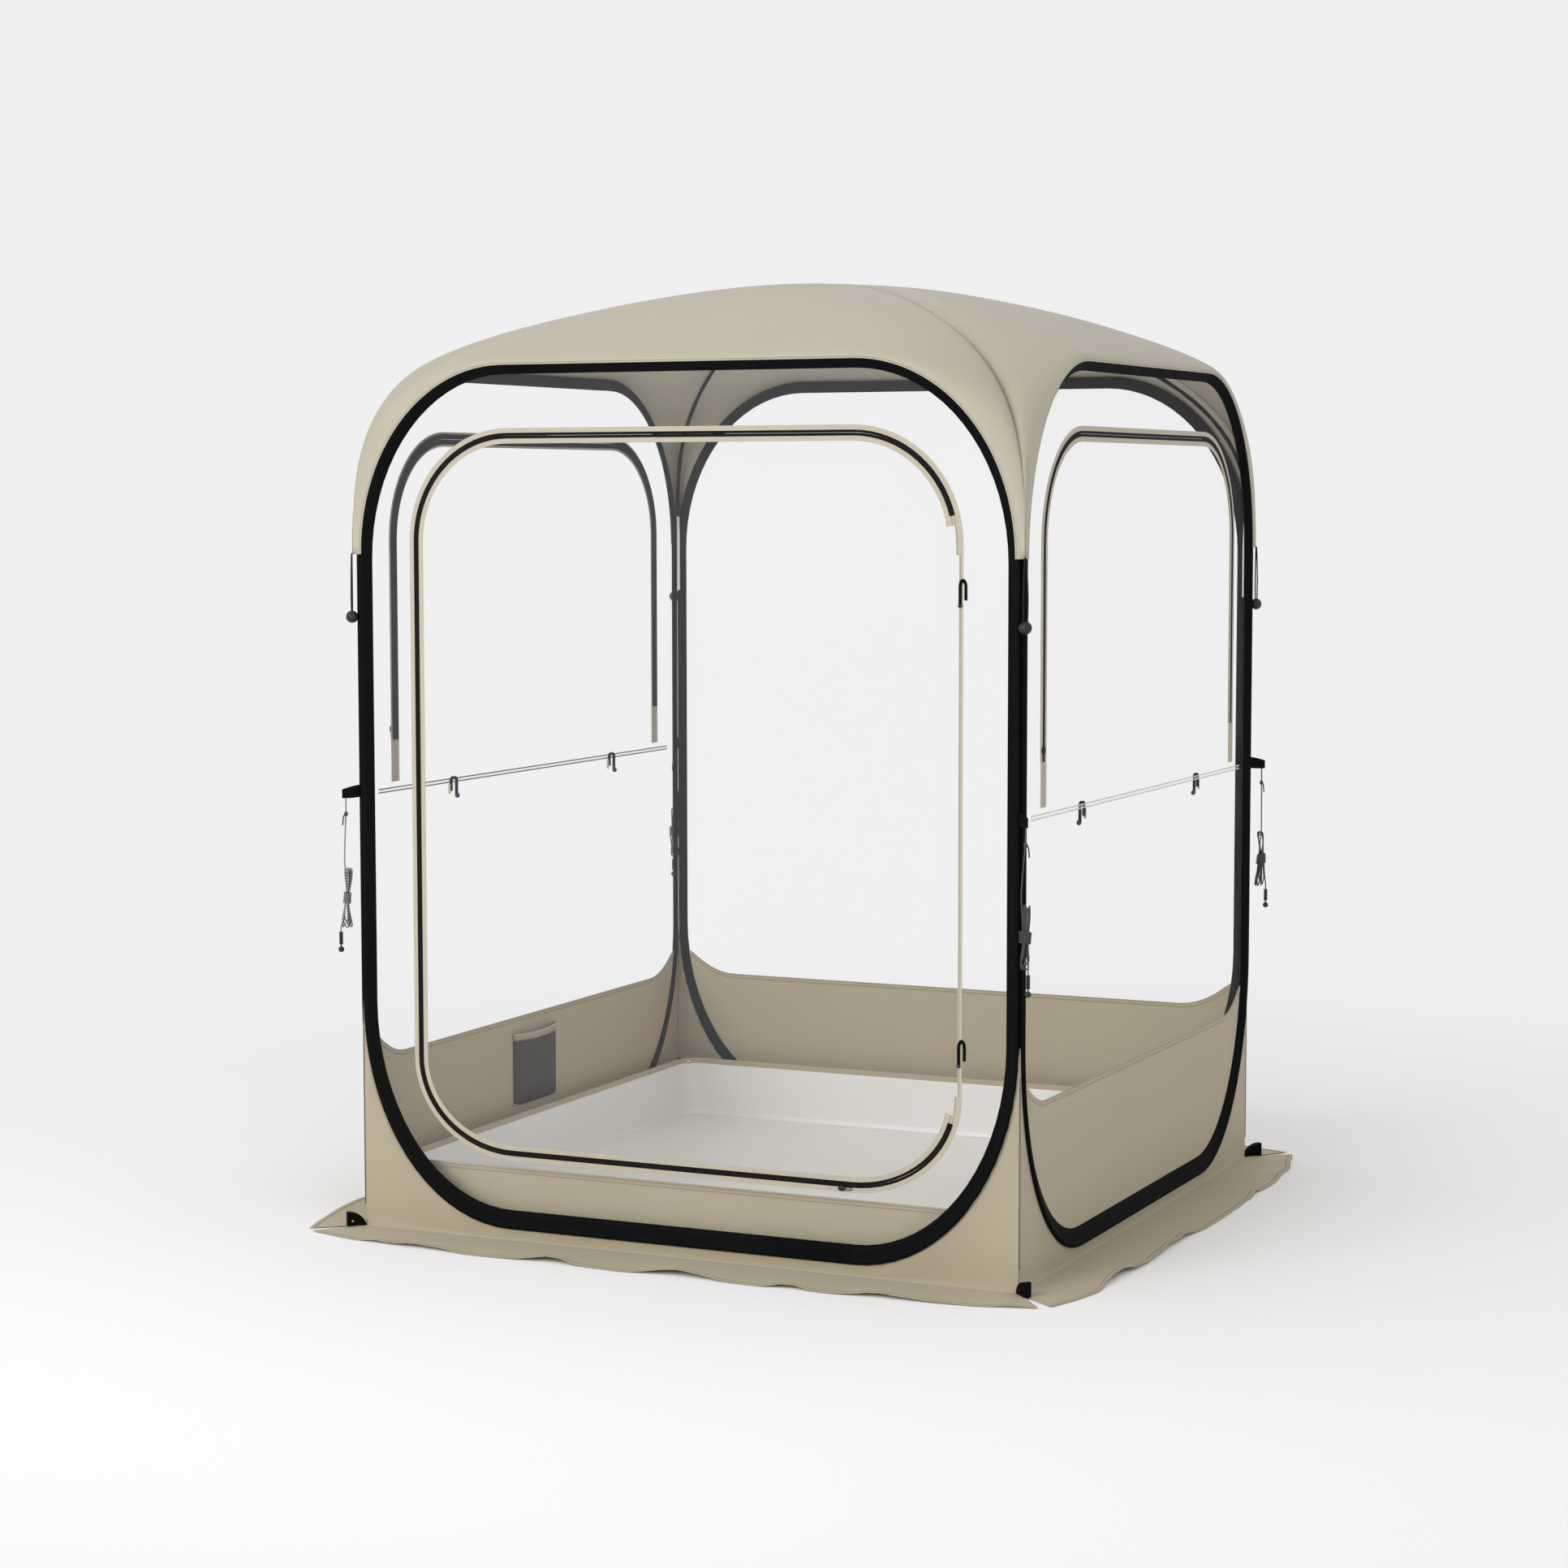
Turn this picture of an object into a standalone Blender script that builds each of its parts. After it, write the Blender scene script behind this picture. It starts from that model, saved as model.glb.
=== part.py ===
"""Bubble tent: four sprung hoops stand as a square, clear film fills them, and a fabric canopy
on two crossed poles covers them. Metres, +Z up. The origin is on the ground at the tent's
centre, +X runs to the right along the front, and the door faces -Y."""
import math

import bmesh
import bpy
from mathutils import Vector

# Driving dimensions
FACE = 0.760                 # tent centre to the plane of each film
HOOP_TOP = 1.882
HOOP_FOOT = 0.026
HOOP_CORNER_WIDE = 0.358
HOOP_TOP_CORNER_TALL = 0.420
HOOP_FOOT_CORNER_TALL = 0.470
APEX_RISE = 0.189            # hoop top up to the canopy's crown
LEG_DROP = 0.409             # hoop top down to where the canopy's corner legs stop
APEX = HOOP_TOP + APEX_RISE
LEG_END = HOOP_TOP - LEG_DROP
GAP = 0.0003                 # running gap between neighbours
SEAM = 0.0008                # slit between a flap and the film around it

# Hoop sleeve, a channel that holds the sprung rod and leans in to grip the film
SLEEVE_WIDE = 0.032
SLEEVE_EDGE_HALF_DEEP = 0.0025
SLEEVE_WALL = 0.002
SLEEVE_NECK = 0.0015
SLEEVE_HEEL = 0.004
POCKET_END = 0.009
POCKET_HALF_DEEP = 0.003
ROD_DEPTH = 0.008            # film's plane out to the rod's middle
FILM_THICK = 0.001
FILM_INSET = 0.011
CORNER_STEPS = 7

# Guy tabs, cords, hanks and runners
TAB_LOW = 0.945
TAB_TALL = 0.030
TAB_LONG = 0.042
TAB_THICK = 0.002
TAB_ROOT = 0.0012            # how far the tab starts inside the sleeve's outer corner
CORD_DIAMETER = 0.003
CORD_FROM_TAB_END = 0.008
HANK_DROP = 0.145            # tab down to the hank
HANK_TOP = TAB_LOW - HANK_DROP
HANK_TALL = 0.147
HANK_LOOPS = 4
HANK_LOOP_POINTS = 16
HANK_PITCH = 0.0036
HANK_END_HALF = 0.011
HANK_WAIST_HALF = 0.0021
WRAP_TURNS = 4
WRAP_TURN_POINTS = 8
WRAP_SPREAD_SHARE = 1.35
RUNNER_LONG = 0.028
RUNNER_RADIUS = 0.0045
RUNNER_BALL_RADIUS = 0.0065
RUNNER_NECK_LONG = 0.004

# Canopy, its poles and its elastic ties
CANOPY_CLEAR = 0.0005
SLEEVE_FACE = FACE + ROD_DEPTH + POCKET_HALF_DEEP + SLEEVE_WALL
CANOPY_HALF = SLEEVE_FACE + CANOPY_CLEAR     # inner face of the canopy's edge
CANOPY_THICK = 0.0012
CANOPY_OVERLAP = 0.009       # how far the canopy's edge covers the hoops
CANOPY_ARCH_RISE = 0.0005
CANOPY_RINGS = 8
POLE_RADIUS = 0.00425
POLE_CLEAR = 0.00045
POLE_HALF = FACE - SLEEVE_EDGE_HALF_DEEP - POLE_RADIUS - POLE_CLEAR
POLE_FOOT_DROP = 0.118
POLE_END = LEG_END - POLE_FOOT_DROP
POLE_DROP = 0.009            # the canopy's ridge down to the upper pole's middle
TIE_BALL_RADIUS = 0.0135
TIE_DROP = 0.135
TIE_BALL_HEIGHT = LEG_END - TIE_DROP
TIE_CORD_RADIUS = 0.0012

# Ground wall and skirt
WALL_SET_OUT = 0.005
WALL_HALF = FACE + WALL_SET_OUT      # inner face of the ground wall
WALL_THICK = 0.002
WALL_TOP = 0.500
WALL_COLUMN_SHARES = (0.25, 0.625)
SKIRT_REACH = 0.157
SKIRT_HALF = WALL_HALF + SKIRT_REACH
SKIRT_TIP_CUT = 0.060
SKIRT_TIP_GAP = 0.080
SKIRT_TIP_HALF = SKIRT_HALF - SKIRT_TIP_CUT
SKIRT_TIP_REACH = SKIRT_HALF - SKIRT_TIP_GAP
SKIRT_TIP_POWER = 6
LOOP_LONG = 0.042
LOOP_TALL = 0.032
LOOP_WEBBING = 0.002
LOOP_WIDE = 0.015
LOOP_CLEAR = 0.0008

# Door, windows, zips and small trim
DOOR_SIDE_MARGIN = 0.138
DOOR_TOP_MARGIN = 0.158
DOOR_FOOT_MARGIN = 0.165
DOOR_HALF = FACE - DOOR_SIDE_MARGIN
DOOR_LOW = HOOP_FOOT + DOOR_FOOT_MARGIN
DOOR_HIGH = HOOP_TOP - DOOR_TOP_MARGIN
DOOR_CORNER = 0.224
DOOR_LOW_CORNER = 0.194
WINDOW_SIDE_MARGIN = 0.131
WINDOW_HALF = FACE - WINDOW_SIDE_MARGIN
WINDOW_LOW = 0.9628
WINDOW_HIGH = HOOP_TOP - DOOR_TOP_MARGIN
WINDOW_CORNER = 0.224
TAPE_WIDE = 0.016
TAPE_THICK = 0.001
HINGE_STRIP_START = 0.007
TAPE_LEG_RISE = 0.0072
TAPE_LEG_END = WINDOW_LOW + TAPE_LEG_RISE
SLIDER_WIDE = 0.012
SLIDER_LONG = 0.014
SLIDER_THICK = 0.006
PULL_WIDE = 0.006
PULL_LONG = 0.030
SLIDER_RISE = 0.1172
SLIDER_HEIGHT = WINDOW_LOW + SLIDER_RISE
DOOR_SLIDER_ALONG = DOOR_HALF - DOOR_CORNER
STRAP_TALL = 0.010
STRAP_DROP = 0.0048          # fold line down to the strap's top
STRAP_SIDE_MARGIN = 0.060
STRAP_HALF = FACE - STRAP_SIDE_MARGIN
STRAP_TIE_ALONG = 0.385
STRAP_TIE_LONG = 0.038
STRAP_TIE_HALF_WIDE = 0.0025
STRAP_KNOB_RADIUS = 0.006
DOOR_TIE_UPPER = 0.348        # door top down to the upper tie
DOOR_TIE_LOWER = 0.259
DOOR_TIE_LOWS = (DOOR_HIGH - DOOR_TIE_UPPER, DOOR_LOW + DOOR_TIE_LOWER)
DOOR_TIE_TALL = 0.054
DOOR_TIE_WIDE = 0.0085
DOOR_TIE_THICK = 0.003

# Lower wall, floor and pocket
LOWER_WALL_HEIGHT = 0.365
LOWER_WALL_CORNER_HEIGHT = 0.430
LOWER_WALL_FLAT_HALF = 0.600
LOWER_WALL_RISE = 0.110
TUB_SIDE_GAP = 0.040
TUB_HALF = FACE - TUB_SIDE_GAP
TUB_TALL = 0.150
TUB_THICK = 0.002
TUB_TAB_WIDE = 0.010
TUB_TAB_TALL = 0.020
TUB_TAB_CLEAR = 0.0005
POCKET_WIDE = 0.210
POCKET_ALONG = 0.015
POCKET_LOW = 0.155
POCKET_TALL = 0.177
POCKET_DEEP = 0.015
POCKET_THICK = 0.0008

HOOP_HALF = FACE + ROD_DEPTH - POCKET_HALF_DEEP - SLEEVE_WALL - GAP
ROD_FACE = FACE + ROD_DEPTH
QUARTER = math.pi / 2
DIAGONAL = math.sqrt(2)
MERGE = 0.00001
FACES = ("front", "right", "back", "left")
CORNERS = ("front_right", "back_right", "back_left", "front_left")
FILM_FACE = FACE + FILM_THICK / 2
TRIM_DEPTH = FILM_FACE + GAP + TAPE_THICK / 2
TRIM_FACE = FILM_FACE + GAP + TAPE_THICK


def clear_scene():
    for old in list(bpy.data.objects):
        bpy.data.objects.remove(old, do_unlink=True)


def collection(name):
    found = bpy.data.collections.new(name)
    bpy.context.scene.collection.children.link(found)
    return found


clear_scene()
PARTS = collection("bubble_tent")
CUTTERS = collection("cutters")


def material(name, colour, rough, metal=0.0, alpha=1.0):
    made = bpy.data.materials.new(name)
    made.use_nodes = True
    shader = made.node_tree.nodes["Principled BSDF"]
    shader.inputs["Base Color"].default_value = (*colour, 1.0)
    shader.inputs["Roughness"].default_value = rough
    shader.inputs["Metallic"].default_value = metal
    shader.inputs["Alpha"].default_value = alpha
    made.diffuse_color = (*colour, alpha)
    return made


FABRIC = (0.50, 0.44, 0.33)
CANOPY_FABRIC = (0.52, 0.47, 0.38)
BLACK = (0.008, 0.008, 0.008)
CLEAR = (0.85, 0.87, 0.88)
FLOOR_GREY = (0.58, 0.56, 0.53)
STEEL = (0.55, 0.55, 0.56)
FIBREGLASS = (0.82, 0.82, 0.80)


def dress(obj, colour, rough, metal=0.0, alpha=1.0):
    obj.data.materials.append(material(obj.name + "_finish", colour, rough, metal, alpha))
    return obj


def link(name, data, rotation=(0.0, 0.0, 0.0), location=(0.0, 0.0, 0.0), group=None):
    obj = bpy.data.objects.new(name, data)
    obj.rotation_euler = rotation
    obj.location = location
    (group or PARTS).objects.link(obj)
    return obj


def face_turn(face):
    return (QUARTER, 0.0, QUARTER * face)


def face_place(face, along, height, depth):
    turn = QUARTER * face
    return (along * math.cos(turn) + depth * math.sin(turn),
            along * math.sin(turn) - depth * math.cos(turn), height)


def corner_turn(corner):
    return (0.0, 0.0, QUARTER * corner - QUARTER / 2)


def rounded_outline(half, low, high, wide, low_tall, high_tall, inset=0.0, centre=0.0):
    """Closed outline with elliptical corners, from the lower right corner round to the left."""
    corners = ((1, low + low_tall, low_tall, 3), (1, high - high_tall, high_tall, 0),
               (-1, high - high_tall, high_tall, 1), (-1, low + low_tall, low_tall, 2))
    points = []
    for side, height, tall, quarter in corners:
        for step in range(CORNER_STEPS + 1):
            angle = QUARTER * (quarter + step / CORNER_STEPS)
            points.append((centre + side * (half - wide) + (wide - inset) * math.cos(angle),
                           height + (tall - inset) * math.sin(angle)))
    return points


def hoop_outline(inset=0.0):
    return rounded_outline(HOOP_HALF, HOOP_FOOT, HOOP_TOP, HOOP_CORNER_WIDE,
                           HOOP_FOOT_CORNER_TALL, HOOP_TOP_CORNER_TALL, inset)


def door_outline(outset=0.0):
    return rounded_outline(DOOR_HALF, DOOR_LOW, DOOR_HIGH, DOOR_CORNER,
                           DOOR_LOW_CORNER, DOOR_CORNER, -outset)


def window_arch(outset=0.0):
    """The window's left side, top and right side, from the lower right up and over."""
    points = rounded_outline(WINDOW_HALF, WINDOW_LOW, WINDOW_HIGH, WINDOW_CORNER,
                             WINDOW_CORNER, WINDOW_CORNER, -outset)
    start = CORNER_STEPS + 1
    return points[start:start + 2 * (CORNER_STEPS + 1)]


def flat_curve(name, outlines, origin=(0.0, 0.0), cyclic=True):
    data = bpy.data.curves.new(name, "CURVE")
    data.dimensions = "2D"
    data.fill_mode = "BOTH"
    for outline in outlines:
        spline = data.splines.new("POLY")
        spline.points.add(len(outline) - 1)
        for point, (across, up) in zip(spline.points, outline):
            point.co = (across - origin[0], up - origin[1], 0.0, 1.0)
        spline.use_cyclic_u = cyclic
    return data


def plate(name, outlines, thick, face, depth, origin=(0.0, 0.0)):
    """A flat sheet in a tent face, whose object origin is at the given along and height."""
    data = flat_curve(name, outlines, origin)
    data.extrude = thick / 2
    return link(name, data, face_turn(face), face_place(face, origin[0], origin[1], depth))


def tube(name, points, radius, rotation=(0.0, 0.0, 0.0), resolution=2, closed=False):
    data = bpy.data.curves.new(name, "CURVE")
    data.dimensions = "3D"
    data.fill_mode = "FULL"
    data.bevel_depth = radius
    data.bevel_resolution = resolution
    data.use_fill_caps = not closed
    spline = data.splines.new("POLY")
    spline.points.add(len(points) - 1)
    for point, place in zip(spline.points, points):
        point.co = (*place, 1.0)
    spline.use_cyclic_u = closed
    return link(name, data, rotation)


def as_mesh(curve_object):
    """Turns a curve object into a mesh object with welded caps, in the same place."""
    bpy.context.view_layer.update()
    graph = bpy.context.evaluated_depsgraph_get()
    mesh = bpy.data.meshes.new_from_object(curve_object.evaluated_get(graph))
    shape = bmesh.new()
    shape.from_mesh(mesh)
    bmesh.ops.remove_doubles(shape, verts=shape.verts, dist=MERGE)
    bmesh.ops.recalc_face_normals(shape, faces=shape.faces)
    shape.to_mesh(mesh)
    shape.free()
    name = curve_object.name
    placed = curve_object.matrix_world.copy()
    bpy.data.objects.remove(curve_object, do_unlink=True)
    made = link(name, mesh)
    made.name = name
    made.matrix_world = placed
    return made


def unite(obj, other):
    other.hide_render = True
    other.display_type = "WIRE"
    for group in list(other.users_collection):
        group.objects.unlink(other)
    CUTTERS.objects.link(other)
    union = obj.modifiers.new("union", "BOOLEAN")
    union.operation = "UNION"
    union.solver = "EXACT"
    union.object = other


def box(name, low, high, rotation=(0.0, 0.0, 0.0), group=None):
    shape = bmesh.new()
    bmesh.ops.create_cube(shape, size=1.0)
    size = Vector(high) - Vector(low)
    middle = (Vector(high) + Vector(low)) / 2
    for vertex in shape.verts:
        vertex.co = Vector([vertex.co[axis] * size[axis] + middle[axis] for axis in range(3)])
    mesh = bpy.data.meshes.new(name)
    shape.to_mesh(mesh)
    shape.free()
    return link(name, mesh, rotation, group=group)


def solidify(obj, thick, offset=1.0):
    shell = obj.modifiers.new("thickness", "SOLIDIFY")
    shell.thickness = thick
    shell.offset = offset
    shell.use_even_offset = True
    return obj


def smooth(obj, angle=0.6):
    obj.data.shade_smooth()
    obj.data.set_sharp_from_angle(angle=angle)
    return obj


def turned(name, profile, sides, location, rotation=(0.0, 0.0, 0.0)):
    """A turned solid. The profile is (radius, height) from the top down, on the axis at both ends."""
    mesh = bpy.data.meshes.new(name)
    shape = bmesh.new()
    verts = [shape.verts.new((radius, 0.0, height)) for radius, height in profile]
    for upper, lower in zip(verts, verts[1:]):
        shape.edges.new((upper, lower))
    shape.to_mesh(mesh)
    shape.free()
    obj = link(name, mesh, rotation, location)
    screw = obj.modifiers.new("turn", "SCREW")
    screw.steps = sides
    screw.render_steps = sides
    screw.use_merge_vertices = True
    screw.merge_threshold = MERGE
    screw.use_normal_calculate = True
    return obj


# Sprung hoops in their fabric sleeves
def sleeve_profile():
    slit = FILM_THICK / 2 + GAP
    top = ROD_DEPTH + POCKET_HALF_DEEP
    low = ROD_DEPTH - POCKET_HALF_DEEP
    neck = POCKET_END - SLEEVE_NECK
    heel = SLEEVE_HEEL + SLEEVE_WALL
    outline = [(0.0, top + SLEEVE_WALL), (POCKET_END, top + SLEEVE_WALL),
               (SLEEVE_WIDE, SLEEVE_EDGE_HALF_DEEP), (SLEEVE_WIDE, slit), (POCKET_END, slit),
               (POCKET_END, top), (SLEEVE_WALL, top), (SLEEVE_WALL, low), (neck, low),
               (neck, -slit), (SLEEVE_WIDE, -slit), (SLEEVE_WIDE, -SLEEVE_EDGE_HALF_DEEP),
               (heel, -SLEEVE_EDGE_HALF_DEEP), (SLEEVE_HEEL, low - SLEEVE_WALL),
               (0.0, low - SLEEVE_WALL)]
    data = flat_curve("sleeve_section", [outline])
    data.fill_mode = "NONE"
    section = link("sleeve_section", data, group=CUTTERS)
    section.hide_render = True
    section.display_type = "WIRE"
    return section


def tab_span():
    """Where the guy tab starts and ends along the corner's diagonal."""
    start = (HOOP_HALF - TAB_ROOT + ROD_FACE) / DIAGONAL
    return start, start + TAB_LONG


def tab_side():
    return (HOOP_HALF - TAB_ROOT - ROD_FACE) / DIAGONAL


def build_hoops():
    section = sleeve_profile()
    start, end = tab_span()
    for face, word in enumerate(FACES):
        data = flat_curve("hoop_sleeve_" + word, [hoop_outline()])
        data.fill_mode = "NONE"
        data.bevel_mode = "OBJECT"
        data.bevel_object = section
        sleeve = link("hoop_sleeve_" + word, data, face_turn(face),
                      face_place(face, 0.0, 0.0, FACE))
        sleeve = as_mesh(sleeve)
        tab = box("guy_tab_" + word, (start, tab_side() - TAB_THICK / 2, TAB_LOW),
                  (end, tab_side() + TAB_THICK / 2, TAB_LOW + TAB_TALL), corner_turn(face))
        unite(sleeve, tab)
        dress(smooth(sleeve), BLACK, 0.75)
        middle = (SLEEVE_WALL + POCKET_END) / 2
        points = [face_place(face, along, height, ROD_FACE)
                  for along, height in hoop_outline(middle)]
        rod = tube("hoop_rod_" + word, points, POCKET_HALF_DEEP - GAP, resolution=1, closed=True)
        dress(rod, STEEL, 0.35, 1.0)


# Clear film, lower walls, door and windows
def hoop_reach(height, inset):
    """Half width of the hoop's outline at a height in its lower corners."""
    rise = HOOP_FOOT + HOOP_FOOT_CORNER_TALL - height
    share = max(0.0, 1.0 - (rise / (HOOP_FOOT_CORNER_TALL - inset)) ** 2)
    return HOOP_HALF - HOOP_CORNER_WIDE + (HOOP_CORNER_WIDE - inset) * math.sqrt(share)


def wall_top(along):
    share = min(1.0, max(0.0, (abs(along) - LOWER_WALL_FLAT_HALF) / LOWER_WALL_RISE))
    return LOWER_WALL_HEIGHT + (LOWER_WALL_CORNER_HEIGHT - LOWER_WALL_HEIGHT) * share ** 2


def wall_line():
    """The seam between the film and the lower wall, from left to right."""
    reach = hoop_reach(LOWER_WALL_CORNER_HEIGHT, FILM_INSET)
    steps = 5
    rise = [LOWER_WALL_FLAT_HALF + LOWER_WALL_RISE * step / steps for step in range(steps + 1)]
    right = [along for along in rise if along < reach] + [reach]
    line = [-along for along in reversed(right)] + right
    return [(along, wall_top(along)) for along in line]


def build_films():
    outline = hoop_outline(FILM_INSET)
    seam = wall_line()
    above = [point for point in outline if point[1] > LOWER_WALL_CORNER_HEIGHT + SLEEVE_WIDE / 2]
    below = [point for point in outline if point[1] < LOWER_WALL_CORNER_HEIGHT - SLEEVE_WIDE / 2]
    split = [index for index, point in enumerate(below) if point[0] < 0.0][0]
    below = below[split:] + below[:split]
    opening = window_arch(SEAM)
    low = WINDOW_LOW - SEAM
    opening = [(opening[0][0], low)] + opening + [(opening[-1][0], low)]
    panels = {"front": [outline, door_outline(SEAM)], "right": [seam + above, opening],
              "back": [seam + above], "left": [seam + above, opening]}
    for face, word in enumerate(FACES):
        film = plate("film_" + word, panels[word], FILM_THICK, face, FACE)
        dress(film, CLEAR, 0.08, alpha=0.25)
        if word != "front":
            top = [(along, height - GAP) for along, height in reversed(seam)]
            wall = plate("lower_wall_" + word, [below + top], FILM_THICK, face, FACE)
            dress(wall, FABRIC, 0.7)


def build_door():
    door = plate("door_panel", [door_outline()], FILM_THICK, 0, FACE, (DOOR_HALF, DOOR_LOW))
    dress(door, CLEAR, 0.08, alpha=0.25)
    inner_half = DOOR_HALF + (SEAM + HINGE_STRIP_START) / 2
    shift = (HINGE_STRIP_START - SEAM) / 2
    inner = rounded_outline(inner_half, DOOR_LOW - SEAM, DOOR_HIGH + SEAM, DOOR_CORNER,
                            DOOR_LOW_CORNER, DOOR_CORNER, 0.0, shift)
    zip_band = plate("zip_door", [door_outline(TAPE_WIDE), inner], TAPE_THICK, 0, TRIM_DEPTH)
    dress(zip_band, CANOPY_FABRIC, 0.7)
    for word, low in zip(("upper", "lower"), DOOR_TIE_LOWS):
        middle = DOOR_HALF + (HINGE_STRIP_START + TAPE_WIDE) / 2
        half = DOOR_TIE_WIDE / 2
        outline = [(middle - half, low), (middle + half, low),
                   (middle + half, low + DOOR_TIE_TALL - half), (middle, low + DOOR_TIE_TALL),
                   (middle - half, low + DOOR_TIE_TALL - half)]
        tie = plate("door_tie_" + word, [outline], DOOR_TIE_THICK, 0,
                    TRIM_FACE + GAP + DOOR_TIE_THICK / 2)
        dress(tie, BLACK, 0.6)


def strap_outline():
    top = WINDOW_LOW - STRAP_DROP
    low = top - STRAP_TALL
    half = STRAP_TIE_HALF_WIDE
    centre_height = low - STRAP_TIE_LONG
    opened = math.asin(half / STRAP_KNOB_RADIUS)
    arc_steps = 8
    points = [(STRAP_HALF, low), (STRAP_HALF, top), (-STRAP_HALF, top), (-STRAP_HALF, low)]
    for along in (-STRAP_TIE_ALONG, STRAP_TIE_ALONG):
        points.append((along - half, low))
        for step in range(arc_steps + 1):
            angle = QUARTER + opened + (4 * QUARTER - 2 * opened) * step / arc_steps
            points.append((along + STRAP_KNOB_RADIUS * math.cos(angle),
                           centre_height + STRAP_KNOB_RADIUS * math.sin(angle)))
        points.append((along + half, low))
    return points


def build_windows():
    for face in (1, 3):
        word = FACES[face]
        arch = window_arch()
        outline = [(arch[0][0], WINDOW_LOW)] + arch + [(arch[-1][0], WINDOW_LOW)]
        flap = plate("window_flap_" + word, [outline], FILM_THICK, face, FACE,
                     (0.0, WINDOW_LOW))
        dress(flap, CLEAR, 0.08, alpha=0.25)
        outer = window_arch(TAPE_WIDE)
        inner = window_arch(SEAM)
        band = ([(outer[0][0], TAPE_LEG_END)] + outer + [(outer[-1][0], TAPE_LEG_END)]
                + [(inner[-1][0], TAPE_LEG_END)] + inner[::-1] + [(inner[0][0], TAPE_LEG_END)])
        dress(plate("zip_" + word, [band], TAPE_THICK, face, TRIM_DEPTH), CANOPY_FABRIC, 0.7)
        strap = plate("flap_strap_" + word, [strap_outline()], TAPE_THICK, face, TRIM_DEPTH)
        dress(strap, BLACK, 0.6)


def slider_outline(along, height, turned_flat=False):
    half = SLIDER_WIDE / 2
    pull = PULL_WIDE / 2
    shape = [(-half, 0.0), (-pull, 0.0), (-pull, -PULL_LONG), (pull, -PULL_LONG), (pull, 0.0),
             (half, 0.0), (half, SLIDER_LONG), (-half, SLIDER_LONG)]
    if turned_flat:
        shape = [(up, -across) for across, up in shape]
    return [(along + across, height + up) for across, up in shape]


def build_sliders():
    depth = TRIM_FACE + GAP + SLIDER_THICK / 2
    middle = SEAM / 2 + TAPE_WIDE / 2
    places = (("door", 0, DOOR_SLIDER_ALONG, DOOR_LOW - middle, True),
              ("right", 1, -WINDOW_HALF - middle, SLIDER_HEIGHT, False),
              ("left", 3, WINDOW_HALF + middle, SLIDER_HEIGHT, False))
    for word, face, along, height, flat in places:
        slider = plate("zip_slider_" + word, [slider_outline(along, height, flat)],
                       SLIDER_THICK, face, depth, (along, height))
        dress(slider, BLACK, 0.35)


# Ground walls with their skirts, and the stake loops
def wall_columns():
    """Places along a face with the ground wall's top there, which follows the hoop."""
    edge = WALL_HALF - GAP
    middle = HOOP_HALF - HOOP_CORNER_WIDE
    centre_height = HOOP_FOOT + HOOP_FOOT_CORNER_TALL
    right = [(middle * share, HOOP_FOOT - GAP) for share in WALL_COLUMN_SHARES]
    for step in range(CORNER_STEPS + 1):
        angle = QUARTER * step / CORNER_STEPS
        right.append((middle + (HOOP_CORNER_WIDE + GAP) * math.sin(angle),
                      centre_height - (HOOP_FOOT_CORNER_TALL + GAP) * math.cos(angle)))
    right.append((edge, WALL_TOP))
    return [(-along, height) for along, height in reversed(right)] + right


def build_ground_walls():
    columns = wall_columns()
    edge = columns[-1][0]
    for face, word in enumerate(FACES):
        name = "ground_wall_" + word
        shape = bmesh.new()
        rows = []
        for along, height in columns:
            share = abs(along) / edge
            reach = along * (1.0 + (SKIRT_TIP_REACH / edge - 1.0) * share)
            outer = SKIRT_HALF - (SKIRT_HALF - SKIRT_TIP_HALF) * share ** SKIRT_TIP_POWER
            middle = (outer + WALL_HALF) / 2
            rows.append([shape.verts.new(point) for point in (
                (reach, 0.0, outer), ((reach + along) / 2, 0.0, middle),
                (along, 0.0, WALL_HALF), (along, height, WALL_HALF))])
        for left, right in zip(rows, rows[1:]):
            for level in range(3):
                shape.faces.new((left[level], right[level], right[level + 1], left[level + 1]))
        mesh = bpy.data.meshes.new(name)
        shape.to_mesh(mesh)
        shape.free()
        wall = link(name, mesh, face_turn(face))
        dress(solidify(wall, WALL_THICK), FABRIC, 0.75)


def build_stake_loops():
    back = (WALL_HALF - GAP + WALL_HALF + WALL_THICK) / DIAGONAL + LOOP_CLEAR
    foot = WALL_THICK + LOOP_CLEAR
    for corner, word in enumerate(CORNERS):
        outer = []
        inner = []
        steps = 6
        for step in range(steps + 1):
            angle = QUARTER * step / steps
            rise = math.cos(angle)
            run = math.sin(angle)
            outer.append((back + LOOP_LONG * (1.0 - run), foot + LOOP_TALL * rise))
            inner.append((back + LOOP_WEBBING + (LOOP_LONG - 2 * LOOP_WEBBING) * (1.0 - run),
                          foot + LOOP_WEBBING + (LOOP_TALL - 2 * LOOP_WEBBING) * rise))
        outer.append((back + LOOP_LONG, foot))
        inner.append((back + LOOP_LONG - LOOP_WEBBING, foot + LOOP_WEBBING))
        data = flat_curve("stake_loop_" + word, [outer, inner])
        data.extrude = LOOP_WIDE / 2
        turn = corner_turn(corner)
        loop = link("stake_loop_" + word, data, (QUARTER, 0.0, turn[2]))
        dress(loop, BLACK, 0.7)


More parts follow.
